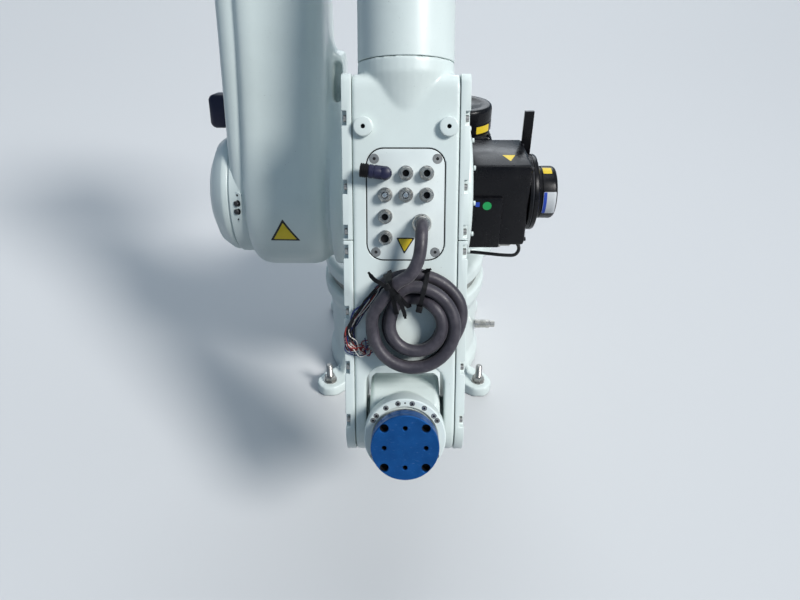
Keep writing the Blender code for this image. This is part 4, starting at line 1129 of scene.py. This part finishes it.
def build_motor_labels(motor, encoder, cap):
    """Plain colour patches where the photograph shows labels."""
    front = facing(at(0.163, -0.234, 0.538), "-Y")
    label = round_place(ENCODER_END, ENCODER_RADIUS, -88, 0.0235)
    sticker("motor_triangle", motor, at(0.207, -0.184, 0.618),
            triangle([(-0.013, 0.0155), (0.013, 0.0155), (0, -0.0155)]), "turret", YELLOW)
    sticker("motor_dot", motor, front, circle(0.0088), "turret", GREEN)
    sticker("motor_patch", motor, front @ at(-0.019, 0.003, 0), rounded_block(0.008, 0.010, 0.001, 2), "turret",
            LABEL_BLUE)
    sticker("encoder_label", encoder, label, rounded_block(0.026, 0.048, 0.002, 4), "turret", LABEL_WHITE)
    sticker("encoder_label_band", encoder, label, rounded_rectangle(0.006, 0.0125, -0.0235, 0.0235, 0.0010, 4),
            "turret", LABEL_BLUE, 0.0005)
    sticker("encoder_patch", encoder, round_place(ENCODER_END, ENCODER_RADIUS, -168, 0.0200),
            rounded_block(0.018, 0.020, 0.001, 3), "turret", YELLOW)
    sticker("cap_label", cap, round_place(CAP_END, CAP_RADIUS, -48, 0.0105),
            rounded_block(0.016, 0.040, 0.001, 4), "turret", YELLOW)


def build_motor_cable():
    """The shoulder motor's plug, its short cable back into the hub, and the bracket behind the motor."""
    plug_start, plug_end, hub, y, z, low, sideways = 0.1423, 0.2263, 0.1303, -0.18, 0.4287, 0.4020, 0.0145
    bend = Vector((plug_end + 0.004, y, z))
    points = [Vector((plug_end + 0.0003, y, z)), Vector((plug_end + 0.002, y, z))]
    down = Vector((0, -sideways, low - z)) / 2
    for k in range(17):
        turn = math.radians(90 - k * 180 / 16)
        points.append(bend + down * (1 - math.sin(turn)) + Vector((down.length * math.cos(turn), 0, 0)))
    for k in range(1, 25):
        share = k / 24
        points.append(Vector((bend.x + (hub - bend.x) * share, y - sideways * (1 - eased(share)), low)))
    cable = finish_piece(tube_curve("motor_cable", [points], MOTOR_CABLE_RADIUS), "turret", WIRE_BLACK,
                         ["j2_motor_cable"])
    plug = [(0, 0), (0.0120, 0), (0.0130, 0.001),
            *ribs(5, 0.003, (0.0130, 0.014), (0.0122, 0.0148), (0.0122, 0.0160), (0.0130, 0.0168)),
            (0.0130, 0.060), (0.0122, 0.062), (0.0104, 0.0625), (0.0104, 0.082), (0.0090, 0.084), (0, 0.084)]
    turned("motor_plug", plug, facing(at(plug_start, y, z), "X"), "turret", NICKEL, ["j2_motor_plug"], 48)
    rounded_copy("motor_cable_bracket", "turret", BLACK, 0.0012)


# Covers, connectors and the arm's side strip

def build_covers():
    """The flat and round covers, with their screws."""
    for node, body, material, edge, segments in (
            ("turret_rear_cover", "turret", MINT, 0.004, 3), ("shoulder_cover", "lower_arm", MINT, 0.005, 3),
            ("elbow_side_cover", "lower_arm", MINT, 0.003, 3), ("arm_side_terminal", "lower_arm", NAVY, 0.004, 3),
            ("forearm_tube", "forearm", MINT, 0.0012, 2), ("housing_rear_cover", "forearm", MINT, 0.001, 2),
            ("turning_ring", "turret", STEEL, 0.0015, 2), ("base_rear_panel", "base", MINT, 0.001, 2)):
        rounded_copy(node, body, material, edge, segments)
    for name, radius, height in (("shoulder", 0.1235, 0), ("elbow", 0.0915, ARM_LENGTH)):
        seat = [(radius, -0.040), (radius, -0.0030), (radius - 0.0024, -0.0006), (radius - 0.0060, -0.0002),
                (0, -0.0002)]
        turned(name + "_cover_seat", seat, facing(ARM @ at(ARM_SIDE_X - 0.0003, 0, height), "-X"), "lower_arm",
               MINT)
    screws = bmesh.new()
    for z in (0.142, 0.300, 0.458):
        for x in (-0.050, 0.050):
            flat_screw(screws, facing(FOREARM @ at(x, 0.0633, z), "Y"), 0.0060)
    piece("housing_cover_screws", screws, "forearm", ZINC)
    corner_screws("rear_panel_screws", "base", ZINC, (facing(at(0, 0.2273, 0.140), "Y"), 0.080, 0.050, 0.0042))
    corner_screws("rear_cover_screws", "turret", ZINC,
                  (facing(at(-0.025, 0.140, 0.530), "Y"), 0.074, 0.050, 0.0042))


def build_connectors():
    """The base's two rear connectors with their locking levers, and the side fitting."""
    z = 0.140
    for node, x in (("base_power_connector", -0.042), ("base_signal_connector", 0.042)):
        rounded_copy(node, "base", NICKEL, 0.0030, 3)
        face = [(0.0210, -0.0015), (0.0210, -0.0002), (0.0195, 0.0), (0.0180, -0.0002), (0.0175, -0.0030),
                (0, -0.0030)]
        turned(node + "_face", face, facing(at(x, 0.2616, z), "Y"), "base", DARK, steps=40)
        bm = bmesh.new()
        for side, axis in ((-1, "-X"), (1, "X")):
            lever = facing(at(x + side * 0.0312, 0.2446, z), axis)
            lathe(bm, [(0.0052, -0.0006), (0.0052, 0.0016), (0.0044, 0.0024), (0, 0.0024)], lever, 24)
            slab(bm, rounded_block(0.048, 0.007, 0.0030, 4), 0.0, 0.0014, lever, 0.0004)
        piece(node + "_levers", bm, "base", ZINC)
    fitting = [(0, 0), (0.0110, 0), (0.0110, 0.010),
               *ribs(4, 0.004, (0.0110, 0.012), (0.0101, 0.013), (0.0101, 0.0145), (0.0110, 0.0155)),
               (0.0110, 0.036), (0.0088, 0.038), (0.0088, 0.0490), (0.0078, 0.0500), (0.0060, 0.0500),
               (0.0058, 0.0420), (0, 0.0420)]
    turned("side_fitting", fitting, facing(at(0.1818, -0.06, 0.12), "X"), "base", NICKEL, ["base_side_fitting"], 40)


def build_side_strip(arm):
    """The small raised strip on the lower arm's left edge, with two bolts and two plugs."""
    place = seen(arm, *STRIP_PIXEL) @ at(0, 0, -0.002)
    strip, bolts, plugs = bmesh.new(), bmesh.new(), bmesh.new()
    slab(strip, rounded_block(0.015, 0.060, 0.0070, 6), -0.004, 0.0045, place, 0.0010)
    for side in (-1, 1):
        hex_bolt(bolts, place @ at(0, side * 0.008, 0.0045), 0.0100, 0.0050, 0.0012)
        lathe(plugs, [(0.0022, 0.0044), (0.0022, 0.0049), (0, 0.0049)], place @ at(0, side * 0.024, 0), 16)
    piece("arm_strip", strip, "lower_arm", MINT)
    piece("arm_strip_bolts", bolts, "lower_arm", DARK_STEEL)
    piece("arm_strip_plugs", plugs, "lower_arm", DARK)


# Floor and light

def build_floor():
    """A pale floor. Light that bounces off it is weaker than what the camera sees, as from a larger room."""
    bm = bmesh.new()
    bmesh.ops.create_grid(bm, x_segments=1, y_segments=1, size=12.0)
    floor = from_bmesh("floor", bm, smooth=False)
    material, tree, shader = new_surface("pale floor", Roughness=0.7)
    path = tree.nodes.new("ShaderNodeLightPath").outputs
    visible = path["Is Camera Ray"]
    for other in ("Is Glossy Ray", "Is Transmission Ray"):
        visible = combined(tree, "MAXIMUM", visible, path[other])
    color = blend_colors(tree, visible, (0.20, 0.21, 0.22), (0.60, 0.605, 0.61))
    tree.links.new(color, shader.inputs["Base Color"])
    floor.data.materials.append(material)
    floor.location = (0, 0, -0.0005)


def add_lamp(name, kind, source, energy, color):
    """A lamp that shines from the direction of source to the object's middle."""
    data = bpy.data.lights.new(name, kind)
    data.energy = energy
    data.color = color
    lamp = linked(name, data)
    lamp.rotation_euler = Vector(source).to_track_quat("Z", "Y").to_euler()
    return lamp


def build_light():
    world = bpy.data.worlds.new("studio")
    bpy.context.scene.world = world
    world.use_nodes = True
    background = world.node_tree.nodes["Background"]
    background.inputs["Color"].default_value = (0.56, 0.77, 1.0, 1.0)
    background.inputs["Strength"].default_value = 0.34
    for name, source, strength, spread, color in (
            ("key", (0.60, -0.50, 0.64), 3.3, 16, (1.0, 0.985, 0.965)),
            ("back", (0.10, 0.85, 0.52), 0.9, 40, (0.92, 0.96, 1.0))):
        add_lamp(name, "SUN", source, strength, color).data.angle = math.radians(spread)
    place, middle = Vector((0.6, 0.3, 3.4)), Vector((0, -0.2, 0.4))
    ceiling = add_lamp("ceiling", "AREA", place - middle, 16, (0.96, 0.98, 1.0))
    ceiling.location = place
    ceiling.data.shape = "SQUARE"
    ceiling.data.size = 1.8
    bpy.context.scene.view_settings.view_transform = "Standard"


make_camera()
cable, cable_route = build_cable()
cable_pieces = build_wires() + build_ties()
arm_cast = build_castings()
panel_plate = build_panel()
build_ports()
build_elbow_fitting()
build_gland()
build_bosses()
build_side_covers()
build_ring()
build_flange()
build_plate()
build_anchors()
build_bolts()
build_warning_triangles(panel_plate, arm_cast)
build_motor_labels(*build_motors())
build_motor_cable()
build_covers()
build_connectors()
build_side_strip(arm_cast)
build_floor()
build_light()
